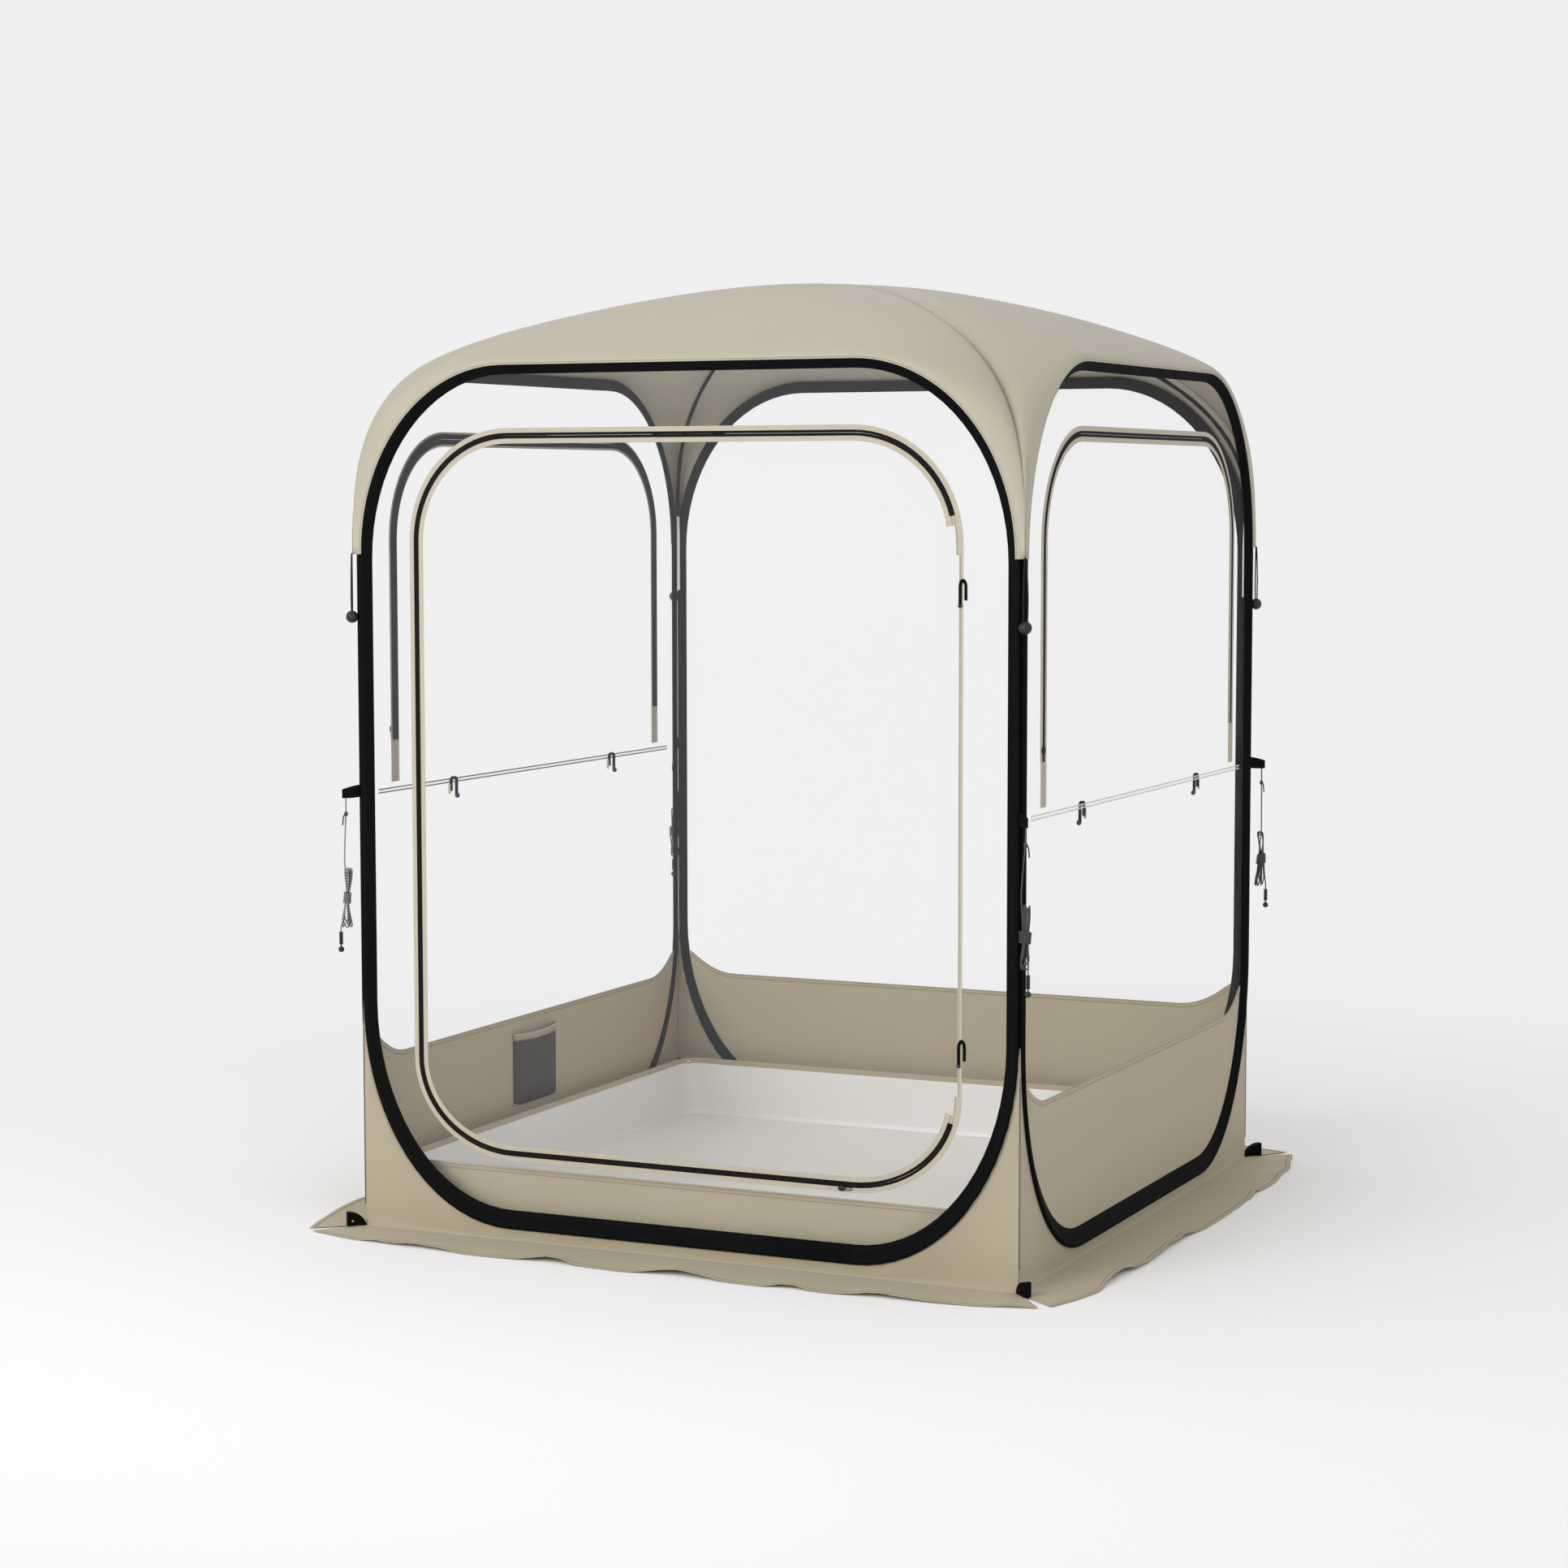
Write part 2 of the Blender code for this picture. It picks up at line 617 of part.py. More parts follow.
# Canopy
def arch_points():
    """Half of a hoop's arch from the leg end to the middle, as (along, height)."""
    wide = CANOPY_HALF - HOOP_HALF + HOOP_CORNER_WIDE
    tall = HOOP_TOP_CORNER_TALL + CANOPY_ARCH_RISE
    centre = (CANOPY_HALF - wide, HOOP_TOP - HOOP_TOP_CORNER_TALL)
    first = math.asin((LEG_END - centre[1]) / tall)
    points = []
    for step in range(CORNER_STEPS + 1):
        angle = first + (QUARTER - first) * step / CORNER_STEPS
        points.append((centre[0] + wide * math.cos(angle), centre[1] + tall * math.sin(angle)))
    points[0] = (CANOPY_HALF, LEG_END)
    points.append((centre[0] / 2, points[-1][1]))
    return points


RIDGE_POWER = 1.25
RIDGE_RISE_POWER = 0.68
GORE_BELLY_SHARE = 0.4
CROWN_POWER = 0.8
RING_POWER = 1.2
CANOPY_RISE = APEX - CANOPY_THICK - LEG_END
CROWN_RISE = APEX - CANOPY_THICK - HOOP_TOP - CANOPY_ARCH_RISE


def ring_turns():
    return [QUARTER * (ring / CANOPY_RINGS) ** RING_POWER for ring in range(CANOPY_RINGS + 1)]


def ridge(turn):
    """The ridge's distance along either axis and its height."""
    return (CANOPY_HALF * math.cos(turn) ** RIDGE_POWER,
            LEG_END + CANOPY_RISE * math.sin(turn) ** RIDGE_RISE_POWER)


def gore_point(along, height, turn):
    """A point of a gore from its edge arch's point, in face axes: along, up, outward."""
    reach, ridge_height = ridge(turn)
    middle = reach * (1.0 - GORE_BELLY_SHARE * math.sin(turn) * math.cos(turn))
    crown = (HOOP_TOP + CANOPY_ARCH_RISE
             + CROWN_RISE * (1.0 - (middle / CANOPY_HALF) ** 2) ** CROWN_POWER)
    share = along / CANOPY_HALF
    arch = (height - LEG_END) / (HOOP_TOP + CANOPY_ARCH_RISE - LEG_END)
    blend = math.sin(turn)
    lift = (1.0 - blend) * arch + blend * (1.0 - share ** 2)
    return (share * reach, ridge_height + (crown - ridge_height) * lift,
            middle + (reach - middle) * share ** 2)


def edge_strip(along, height):
    """The lower edge of the canopy's border, which laps over the hoop's face."""
    wide = CANOPY_HALF - HOOP_HALF + HOOP_CORNER_WIDE
    centre = Vector((CANOPY_HALF - wide, HOOP_TOP - HOOP_TOP_CORNER_TALL))
    here = Vector((along, height))
    if along <= centre.x:
        return along, height - CANOPY_OVERLAP
    lap = CANOPY_OVERLAP + CANOPY_HALF - HOOP_HALF
    away = here - centre
    share = away.y / HOOP_TOP_CORNER_TALL
    inward = lap + (CANOPY_OVERLAP - lap) * max(0.0, share)
    if height <= LEG_END:
        return along - inward, height
    away = away.normalized() * inward
    return along - away.x, height - away.y


def build_canopy():
    half = arch_points()
    arch = half + [(-along, height) for along, height in reversed(half)]
    shape = bmesh.new()
    for face in range(len(FACES)):
        columns = []
        for along, height in arch:
            side = 1.0 if along > 0.0 else -1.0
            low_along, low_height = edge_strip(abs(along), height)
            local = [(side * low_along, low_height, CANOPY_HALF), (along, height, CANOPY_HALF)]
            local += [gore_point(along, height, turn) for turn in ring_turns()[1:]]
            columns.append([shape.verts.new(face_place(face, *point)) for point in local])
        for left, right in zip(columns, columns[1:]):
            for level in range(CANOPY_RINGS + 1):
                shape.faces.new((left[level], left[level + 1], right[level + 1], right[level]))
    bmesh.ops.remove_doubles(shape, verts=shape.verts, dist=MERGE)
    bmesh.ops.dissolve_degenerate(shape, dist=MERGE, edges=shape.edges)
    bmesh.ops.recalc_face_normals(shape, faces=shape.faces)
    if sum(face.normal.z for face in shape.faces) < 0.0:
        bmesh.ops.reverse_faces(shape, faces=shape.faces)
    mesh = bpy.data.meshes.new("canopy")
    shape.to_mesh(mesh)
    shape.free()
    canopy = link("canopy", mesh)
    solidify(canopy, CANOPY_THICK)
    dress(smooth(canopy), CANOPY_FABRIC, 0.75)


def pole_line(drop):
    """Half of a pole, from its foot up to the crossing, as (distance per axis, height)."""
    points = [(POLE_HALF, POLE_END), (POLE_HALF, (POLE_END + LEG_END) / 2)]
    for turn in ring_turns():
        reach, height = ridge(turn)
        points.append((min(POLE_HALF, reach - drop * math.cos(turn) / DIAGONAL),
                       height - drop * math.sin(turn)))
    points[-1] = (0.0, points[-1][1])
    return points


def build_poles():
    for number, word in enumerate(("over", "under")):
        drop = POLE_DROP + number * (POLE_RADIUS * 2 + GAP)
        half = pole_line(drop)
        line = [(reach * DIAGONAL, 0.0, height) for reach, height in half]
        line += [(-reach * DIAGONAL, 0.0, height) for reach, height in reversed(half[:-1])]
        pole = tube("roof_pole_" + word, line, POLE_RADIUS, corner_turn(number), resolution=1)
        dress(pole, FIBREGLASS, 0.4)


def build_canopy_ties():
    middle = (HOOP_HALF + SLEEVE_FACE) / 2
    half = (SLEEVE_FACE - HOOP_HALF) / 2
    clear = TIE_BALL_RADIUS + GAP
    reach = middle + math.sqrt((clear ** 2 - 2 * half ** 2) / 2)
    top = LEG_END - GAP - TIE_BALL_HEIGHT
    steps = 8
    first = math.asin(TIE_CORD_RADIUS / TIE_BALL_RADIUS)
    profile = [(0.0, top), (TIE_CORD_RADIUS, top)]
    for step in range(steps):
        angle = first + (2 * QUARTER - first) * step / steps
        profile.append((TIE_BALL_RADIUS * math.sin(angle), TIE_BALL_RADIUS * math.cos(angle)))
    profile.append((0.0, -TIE_BALL_RADIUS))
    sides = 10
    for corner, word in enumerate(CORNERS):
        turn = corner_turn(corner)[2]
        place = (reach * DIAGONAL * math.cos(turn), reach * DIAGONAL * math.sin(turn),
                 TIE_BALL_HEIGHT)
        tie = turned("canopy_tie_" + word, profile, sides, place)
        dress(tie, BLACK, 0.5)


# Guy lines
def guy_places():
    """Distance along the diagonal and the side step of the hanging cord."""
    return tab_span()[1] - CORD_FROM_TAB_END, tab_side()


def hank_route():
    """One unbroken line: flattened loops side by side, then the turns round their waist."""
    reach, side = guy_places()
    middle_height = HANK_TOP - HANK_TALL / 2
    half_tall = HANK_TALL / 2 - CORD_DIAMETER * 3
    first = reach - HANK_PITCH * HANK_LOOPS / 2
    entry = first - HANK_PITCH
    points = [(entry, side, HANK_TOP), (entry, side, HANK_TOP - CORD_DIAMETER)]
    total = HANK_LOOPS * HANK_LOOP_POINTS
    for step in range(-HANK_LOOP_POINTS // 4, total + HANK_LOOP_POINTS // 2 + 1):
        angle = 4 * QUARTER * step / HANK_LOOP_POINTS
        up = math.sin(angle)
        height = middle_height + half_tall * math.copysign(abs(up) ** 0.8, up)
        swell = HANK_WAIST_HALF + (HANK_END_HALF - HANK_WAIST_HALF) * abs(up) ** 1.5
        lean = math.cos(angle)
        across = swell * math.copysign(abs(lean) ** 0.5, lean)
        points.append((first + HANK_PITCH * step / HANK_LOOP_POINTS, side + across, height))
    last = points[-1][0]
    centre = (last + entry) / 2
    half_deep = (last - entry) / 2 + HANK_PITCH * WRAP_SPREAD_SHARE
    half_wide = HANK_WAIST_HALF + HANK_PITCH * WRAP_SPREAD_SHARE
    for step in range(WRAP_TURNS * WRAP_TURN_POINTS + 1):
        angle = 4 * QUARTER * step / WRAP_TURN_POINTS
        lean = math.cos(angle)
        turn = -math.sin(angle)
        points.append((centre + half_deep * math.copysign(abs(lean) ** 0.5, lean),
                       side + half_wide * math.copysign(abs(turn) ** 0.5, turn),
                       middle_height - HANK_PITCH * step / WRAP_TURN_POINTS))
    points.append((points[-1][0], side, HANK_TOP - HANK_TALL))
    return points


def build_guy_lines():
    reach, side = guy_places()
    route = hank_route()
    least = least_gap(route)
    print("hank's least gap to itself, mm:", round(least * 1000, 3))
    cord_top = TAB_LOW - GAP
    entry = route[0][0]
    steps = 12
    for corner, word in enumerate(CORNERS):
        turn = corner_turn(corner)
        cord = []
        for step in range(steps + 1):
            share = step / steps
            ease = share * share * (3.0 - 2.0 * share)
            cord.append((reach + (entry - reach) * ease, side,
                         cord_top + (HANK_TOP + GAP - cord_top) * share))
        dress(tube("guy_cord_" + word, cord, CORD_DIAMETER / 2, turn), BLACK, 0.7)
        hank = tube("guy_hank_" + word, route, CORD_DIAMETER / 2, turn, resolution=1)
        dress(hank, BLACK, 0.7)
        end = route[-1]
        angle = turn[2]
        place = (end[0] * math.cos(angle) - end[1] * math.sin(angle),
                 end[0] * math.sin(angle) + end[1] * math.cos(angle), end[2] - GAP)
        dress(turned("guy_runner_" + word, runner_profile(), 8, place), BLACK, 0.5)


def runner_profile():
    neck = CORD_DIAMETER / 2
    ball_top = -RUNNER_LONG - RUNNER_NECK_LONG
    profile = [(0.0, 0.0), (RUNNER_RADIUS - neck, 0.0), (RUNNER_RADIUS, -neck),
               (RUNNER_RADIUS, neck - RUNNER_LONG), (neck, -RUNNER_LONG), (neck, ball_top)]
    steps = 5
    first = math.asin(neck / RUNNER_BALL_RADIUS)
    centre = ball_top - RUNNER_BALL_RADIUS * math.cos(first)
    for step in range(1, steps):
        angle = first + (2 * QUARTER - first) * step / steps
        profile.append((RUNNER_BALL_RADIUS * math.sin(angle),
                        centre + RUNNER_BALL_RADIUS * math.cos(angle)))
    profile.append((0.0, centre - RUNNER_BALL_RADIUS))
    return profile


def least_gap(route):
    """Least clear distance between stretches of the tube that aren't neighbours."""
    fine = []
    parts = 6
    for start, end in zip(route, route[1:]):
        fine += [Vector(start).lerp(Vector(end), part / parts) for part in range(parts)]
    along = [0.0]
    for start, end in zip(fine, fine[1:]):
        along.append(along[-1] + (end - start).length)
    least = HANK_TALL
    for first, place in enumerate(fine):
        for second in range(first + 1, len(fine)):
            if along[second] - along[first] > CORD_DIAMETER * 4:
                least = min(least, (fine[second] - place).length)
    return least - CORD_DIAMETER


# Floor tub and pocket
def build_floor():
    shape = bmesh.new()
    bmesh.ops.create_cube(shape, size=1.0)
    for vertex in shape.verts:
        vertex.co = (vertex.co.x * 2 * TUB_HALF, vertex.co.y * 2 * TUB_HALF,
                     TUB_TALL * (vertex.co.z + 0.5))
    shape.normal_update()
    top = [face for face in shape.faces if face.normal.z > 0.5]
    bmesh.ops.delete(shape, geom=top, context="FACES_ONLY")
    mesh = bpy.data.meshes.new("floor_tub")
    shape.to_mesh(mesh)
    shape.free()
    tub = link("floor_tub", mesh)
    solidify(tub, TUB_THICK, -1.0)
    end = (WALL_HALF - TUB_TAB_CLEAR) * DIAGONAL - TUB_TAB_WIDE / 2
    start = TUB_HALF * DIAGONAL - TUB_THICK
    for corner, word in enumerate(CORNERS):
        tab = box("tub_tab_" + word, (start, -TUB_TAB_WIDE / 2, TUB_TALL - TUB_TAB_TALL),
                  (end, TUB_TAB_WIDE / 2, TUB_TALL - TUB_TAB_TALL / 4), corner_turn(corner))
        unite(tub, tab)
    dress(tub, FLOOR_GREY, 0.3)


def build_pocket():
    face = 3
    shape = bmesh.new()
    bmesh.ops.create_cube(shape, size=1.0)
    back = FACE - FILM_THICK / 2 - GAP
    for vertex in shape.verts:
        vertex.co = (POCKET_ALONG + vertex.co.x * POCKET_WIDE,
                     POCKET_LOW + POCKET_TALL * (vertex.co.y + 0.5),
                     back + POCKET_DEEP * (vertex.co.z - 0.5))
    shape.normal_update()
    gone = [side for side in shape.faces if side.normal.y > 0.5 or side.normal.z > 0.5]
    bmesh.ops.delete(shape, geom=gone, context="FACES_ONLY")
    mesh = bpy.data.meshes.new("pocket")
    shape.to_mesh(mesh)
    shape.free()
    pocket = link("pocket", mesh, face_turn(face))
    dress(solidify(pocket, POCKET_THICK, -1.0), FABRIC, 0.8)


build_hoops()
build_films()
build_door()
build_windows()
build_sliders()
build_ground_walls()
build_stake_loops()
build_canopy()
build_poles()
build_canopy_ties()
build_guy_lines()
build_floor()
build_pocket()
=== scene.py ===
"""Bubble tent: the finished look of its fabrics, films, cords and trim around the fixed frame."""

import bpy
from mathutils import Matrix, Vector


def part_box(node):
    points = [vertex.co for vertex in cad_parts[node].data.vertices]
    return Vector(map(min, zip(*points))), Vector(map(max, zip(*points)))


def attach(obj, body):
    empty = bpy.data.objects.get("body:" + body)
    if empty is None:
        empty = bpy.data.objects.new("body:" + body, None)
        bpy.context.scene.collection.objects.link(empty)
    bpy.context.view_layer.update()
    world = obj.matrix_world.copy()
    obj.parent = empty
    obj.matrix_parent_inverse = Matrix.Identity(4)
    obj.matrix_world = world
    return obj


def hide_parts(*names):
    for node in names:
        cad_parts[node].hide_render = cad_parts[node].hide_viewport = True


bl_info = {
    "name": "Bubble Tent",
    "version": (1, 0, 0),
    "blender": (4, 5, 0),
    "location": "View3D > Sidebar > Tent",
    "description": "Builds the bubble tent's canopy, walls, films, zips, cords and floor",
    "category": "Object",
}

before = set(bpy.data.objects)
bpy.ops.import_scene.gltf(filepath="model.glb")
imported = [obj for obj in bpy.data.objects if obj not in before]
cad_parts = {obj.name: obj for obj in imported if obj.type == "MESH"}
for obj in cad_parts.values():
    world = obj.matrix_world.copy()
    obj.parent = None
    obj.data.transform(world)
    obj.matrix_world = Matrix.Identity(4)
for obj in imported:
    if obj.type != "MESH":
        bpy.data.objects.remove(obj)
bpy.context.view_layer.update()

import math

import bmesh
import bpy
from bpy.props import FloatProperty, FloatVectorProperty, IntProperty, PointerProperty
from mathutils import Matrix, Vector, noise

FACES = ("front", "right", "back", "left")
CORNERS = ("front_right", "back_right", "back_left", "front_left")
QUARTER = math.pi / 2
DIAGONAL = math.sqrt(2)
UP = Vector((0.0, 0.0, 1.0))

# Frame sizes, read from the fixed pieces
ROD_LOW, ROD_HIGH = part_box("hoop_rod_front")
ROD_DEPTH = 0.008
ROD_INSET, ROD_RADIUS = 0.0055, 0.0027
FACE = -(ROD_LOW[1] + ROD_HIGH[1]) / 2 - ROD_DEPTH
HOOP_HALF = ROD_HIGH[0] + ROD_INSET - ROD_RADIUS
HOOP_FOOT = ROD_LOW[2] - ROD_INSET + ROD_RADIUS
HOOP_TOP = ROD_HIGH[2] + ROD_INSET - ROD_RADIUS
HOOP_CORNER_WIDE = 0.358
HOOP_TOP_CORNER_TALL = 0.420
HOOP_FOOT_CORNER_TALL = 0.470
DOOR_FOOT_AT, DOOR_HEAD_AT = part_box("door_panel")
DOOR_HALF, DOOR_LOW, DOOR_HIGH = DOOR_HEAD_AT[0], DOOR_FOOT_AT[2], DOOR_HEAD_AT[2]
DOOR_CORNER, DOOR_LOW_CORNER = 0.224, 0.194
WINDOW_FOOT_AT, WINDOW_HEAD_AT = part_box("window_flap_right")
WINDOW_HALF, WINDOW_LOW, WINDOW_HIGH = WINDOW_HEAD_AT[1], WINDOW_FOOT_AT[2], WINDOW_HEAD_AT[2]
WINDOW_CORNER = 0.224
CANOPY_LOW, CANOPY_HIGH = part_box("canopy")
CANOPY_SKIN = 0.0012
APEX, LEG_END, CANOPY_HALF = CANOPY_HIGH[2], CANOPY_LOW[2], CANOPY_HIGH[0] - CANOPY_SKIN
SKIRT_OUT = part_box("ground_wall_right")[1][0]
RUNNER_LOW, RUNNER_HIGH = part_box("guy_runner_front_right")
HANK_TOP, HANK_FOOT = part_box("guy_hank_front_right")[1][2], RUNNER_HIGH[2]
CAD_END = (RUNNER_LOW[0] + RUNNER_HIGH[0] - RUNNER_LOW[1] - RUNNER_HIGH[1]) / 2 / DIAGONAL
SEAM = 0.0008


class TentSizes(bpy.types.PropertyGroup):
    corner_steps: IntProperty(name="Corner Steps", default=18, min=6, max=48,
                              description="Steps round each hoop corner")
    canopy_rings: IntProperty(name="Canopy Rings", default=26, min=8, max=64,
                              description="Rows from the canopy's edge to its crown")
    film_wave: FloatProperty(name="Film Wave", default=0.0008, unit="LENGTH",
                             description="How far the clear film stands out of its plane")
    fabric_wave: FloatProperty(name="Fabric Wave", default=0.0015, unit="LENGTH",
                               description="How far taut fabric stands out of its plane")
    skirt_lift: FloatProperty(name="Skirt Lift", default=0.013, unit="LENGTH",
                              description="Height of the ripples in the skirt's edge")
    stitch_pitch: FloatProperty(name="Stitch Pitch", default=0.005, unit="LENGTH",
                                description="Distance from one stitch to the next")


class TentColours(bpy.types.PropertyGroup):
    canopy: FloatVectorProperty(name="Canopy", subtype="COLOR", size=3,
                                default=(0.460, 0.418, 0.330), description="Canopy fabric")
    wall: FloatVectorProperty(name="Wall", subtype="COLOR", size=3,
                              default=(0.440, 0.375, 0.268), description="Wall and skirt fabric")
    webbing: FloatVectorProperty(name="Webbing", subtype="COLOR", size=3,
                                 default=(0.005, 0.005, 0.0052), description="Hoop sleeves")
    floor: FloatVectorProperty(name="Floor", subtype="COLOR", size=3,
                               default=(0.80, 0.785, 0.76), description="Floor coating")
    tracer: FloatVectorProperty(name="Tracer", subtype="COLOR", size=3,
                                default=(0.42, 0.42, 0.41), description="Pale thread in the cords")


def sizes():
    return bpy.context.scene.tent_sizes


def colours():
    return bpy.context.scene.tent_colours


# Materials
STITCH_SHARE, STITCH_HALF = 0.62, 0.0009


class Nodes:
    """A short way to lay out the nodes of one material, or of the world."""

    def __init__(self, name, world=None):
        self.owner = world or bpy.data.materials.new(name)
        self.owner.use_nodes = True
        self.tree = self.owner.node_tree
        self.shader = self.tree.nodes["Background" if world else "Principled BSDF"]

    def set(self, inputs):
        for name, value in inputs.items():
            self.shader.inputs[name].default_value = value

    def add(self, kind, inputs=None, **settings):
        node = self.tree.nodes.new("ShaderNode" + kind)
        for key, value in settings.items():
            setattr(node, key, value)
        for key, value in (inputs or {}).items():
            if isinstance(value, bpy.types.NodeSocket):
                self.tree.links.new(value, node.inputs[key])
            else:
                node.inputs[key].default_value = value
        return node

    def math(self, operation, *values):
        return self.add("Math", dict(enumerate(values)), operation=operation).outputs[0]

    def mix(self, share, first, second, **settings):
        return self.add("Mix", {0: share, 6: first, 7: second}, data_type="RGBA",
                        **settings).outputs[2]

    def uv(self):
        split = self.add("SeparateXYZ", {0: self.add("TexCoord").outputs["UV"]})
        return split.outputs[0], split.outputs[1]

    def noise(self, scale, detail=3.0):
        place = self.add("TexCoord").outputs["Object"]
        return self.add("TexNoise", {"Vector": place, "Scale": scale, "Detail": detail,
                                     "Roughness": 0.55}).outputs["Fac"]

    def tint(self, colour, share, amount):
        """The colour, darker and lighter by a share that runs from 0 to 1."""
        low = [value * (1.0 - amount) for value in colour]
        high = [min(1.0, value * (1.0 + amount)) for value in colour]
        return self.mix(share, low + [1.0], high + [1.0])

    def bump(self, height, distance, strength=1.0, **under):
        return self.add("Bump", {"Height": height, "Distance": distance, "Strength": strength,
                                 **under}).outputs[0]

    def sine(self, value, pitch):
        return self.math("SINE", self.math("MULTIPLY", value, 2 * math.pi / pitch))

    def weave(self, pitch, stretch=1.0):
        """Over and under of a plain weave, from the piece's own lengths."""
        along, across = self.uv()
        both = self.math("MULTIPLY", self.sine(along, pitch), self.sine(across, pitch * stretch))
        return self.math("MULTIPLY_ADD", both, 0.5, 0.5)

    def sewn(self, base, height, rows, thread, relief):
        """Colour and height with stitches, in rows at given distances across the piece."""
        if not rows:
            return base, height
        along, across = self.uv()
        dash = self.math("FRACT", self.math("DIVIDE", along, sizes().stitch_pitch))
        total = 0.0
        for row in rows:
            near = self.math("ABSOLUTE", self.math("SUBTRACT", across, row))
            total = self.math("MAXIMUM", total, self.math("LESS_THAN", near, STITCH_HALF))
        stitches = self.math("MULTIPLY", self.math("LESS_THAN", dash, STITCH_SHARE), total)
        raised = self.math("ADD", height, self.math("MULTIPLY", stitches, relief))
        return self.mix(stitches, base, [*thread, 1.0]), raised

    def dress(self, base, rough, relief, inputs=None):
        """Links colour, roughness and relief, and sets the shader's other inputs."""
        scale, spread, least, *detail = rough
        dull = self.math("MULTIPLY_ADD", self.noise(scale, *detail), spread, least)
        for name, output in (("Base Color", base), ("Roughness", dull), ("Normal", relief)):
            self.tree.links.new(output, self.shader.inputs[name])
        self.set(inputs or {})
        return self.owner

    def backdrop(self, rays, glow, output, share=None):
        """Shows rays of some kinds the backdrop's glow in place of the shader."""
        path = self.add("LightPath").outputs
        seen, *others = [path["Is %s Ray" % kind] for kind in rays]
        for other in others:
            seen = self.math("MAXIMUM", seen, other)
        if share:
            seen = self.math("MULTIPLY", share, seen)
        blend = self.add("MixShader", {0: seen, 1: self.shader.outputs[0], 2: glow.outputs[0]})
        self.tree.links.new(blend.outputs[0], self.tree.nodes[output].inputs[0])


def plain(name, colour, tone, rough, relief, inputs=None):
    """A finish of one colour, whose tone, roughness and relief follow noise."""
    nodes = Nodes(name)
    scale, amount = tone
    *grain, distance, strength = relief
    return nodes.dress(nodes.tint(colour, nodes.noise(scale), amount), rough,
                       nodes.bump(nodes.noise(*grain), distance, strength), inputs)


def clear_film(name, alpha=0.02, colour=(0.93, 0.935, 0.94)):
    return plain(name, colour, (1.4, 0.03), (5.0, 0.08, 0.06), (3.5, 2.0, 0.004, 0.35),
                 {"Alpha": alpha, "IOR": 1.45})


def moulded(name, colour, rough=0.4, grain=900.0):
    return plain(name, colour, (60.0, 0.12), (200.0, 0.15, rough), (grain, 1.0, 0.0001, 0.6))


def metal(name, colour, metallic=0.7):
    return plain(name, colour, (80.0, 0.2), (300.0, 0.2, 0.3), (500.0, 0.00005, 0.5),
                 {"Metallic": metallic})


def fabric(name, colour, rows=(), pitch=0.0012):
    nodes = Nodes(name)
    weave = nodes.weave(pitch)
    shade = nodes.tint(colour, nodes.noise(2.6), 0.045)
    fine = nodes.tint((1.0, 1.0, 1.0), weave, 0.07)
    base = nodes.mix(1.0, shade, fine, blend_type="MULTIPLY")
    base, height = nodes.sewn(base, weave, rows, [value * 0.42 for value in colour], 3.0)
    wrinkle = nodes.bump(nodes.noise(9.0, 4.0), 0.004, 0.25)
    return nodes.dress(base, (30.0, 0.12, 0.66), nodes.bump(height, 0.00012, Normal=wrinkle),
                       {"Sheen Weight": 0.15, "Sheen Roughness": 0.5})


def webbing(name, rows=(), pitch=0.0022):
    """Black ribbed webbing."""
    nodes = Nodes(name)
    shade = nodes.tint(colours().webbing, nodes.noise(6.0), 0.35)
    shade, height = nodes.sewn(shade, nodes.weave(pitch, 1.6), rows, (0.012, 0.012, 0.012), 2.0)
    return nodes.dress(shade, (40.0, 0.2, 0.52), nodes.bump(height, 0.00012),
                       {"Specular IOR Level": 0.02})


def braid(name, share):
    """A dark braided cord with a pale tracer running round it."""
    nodes = Nodes(name)
    along, across = nodes.uv()
    lay = nodes.math("DIVIDE", along, 0.006)
    spirals = [nodes.math("FRACT", nodes.math(way, lay, across)) for way in ("ADD", "SUBTRACT")]
    tracer = nodes.math("MAXIMUM", *[nodes.math("LESS_THAN", turn, share) for turn in spirals])
    base = nodes.mix(tracer, [0.010, 0.010, 0.011, 1.0], [*colours().tracer, 1.0])
    return nodes.dress(base, (150.0, 0.15, 0.55),
                       nodes.bump(nodes.math("MAXIMUM", *spirals), 0.0002))


def coating(name):
    """Glossy silver-grey coated cloth."""
    nodes = Nodes(name)
    base = nodes.tint(colours().floor, nodes.noise(1.8, 4.0), 0.05)
    wide = nodes.bump(nodes.noise(0.9, 0.0), 0.012, 0.2)
    return nodes.dress(base, (1.6, 0.06, 0.34, 1.0),
                       nodes.bump(nodes.weave(0.0016), 0.00001, 0.3, Normal=wide),
                       {"Coat Weight": 0.3, "Coat Roughness": 0.30})


def net(name, colour):
    """A dark net: small holes in a grid, shown as a deeper tone."""
    nodes = Nodes(name)
    hole = nodes.math("MULTIPLY", *[nodes.math("ABSOLUTE", nodes.sine(way, 0.0052))
                                    for way in nodes.uv()])
    base = nodes.mix(nodes.math("GREATER_THAN", hole, 0.45), [*colour, 1.0],
                     [value * 0.45 for value in colour] + [1.0])
    return nodes.dress(base, (90.0, 0.1, 0.6), nodes.bump(hole, 0.0003, -1.0))


def coil(name):
    """Black coil teeth across the tape."""
    nodes = Nodes(name)
    base = nodes.tint((0.009, 0.008, 0.007), nodes.noise(50.0), 0.4)
    return nodes.dress(base, (120.0, 0.1, 0.5),
                       nodes.bump(nodes.sine(nodes.uv()[0], 0.0022), 0.0001),
                       {"Specular IOR Level": 0.05})


MADE = {}


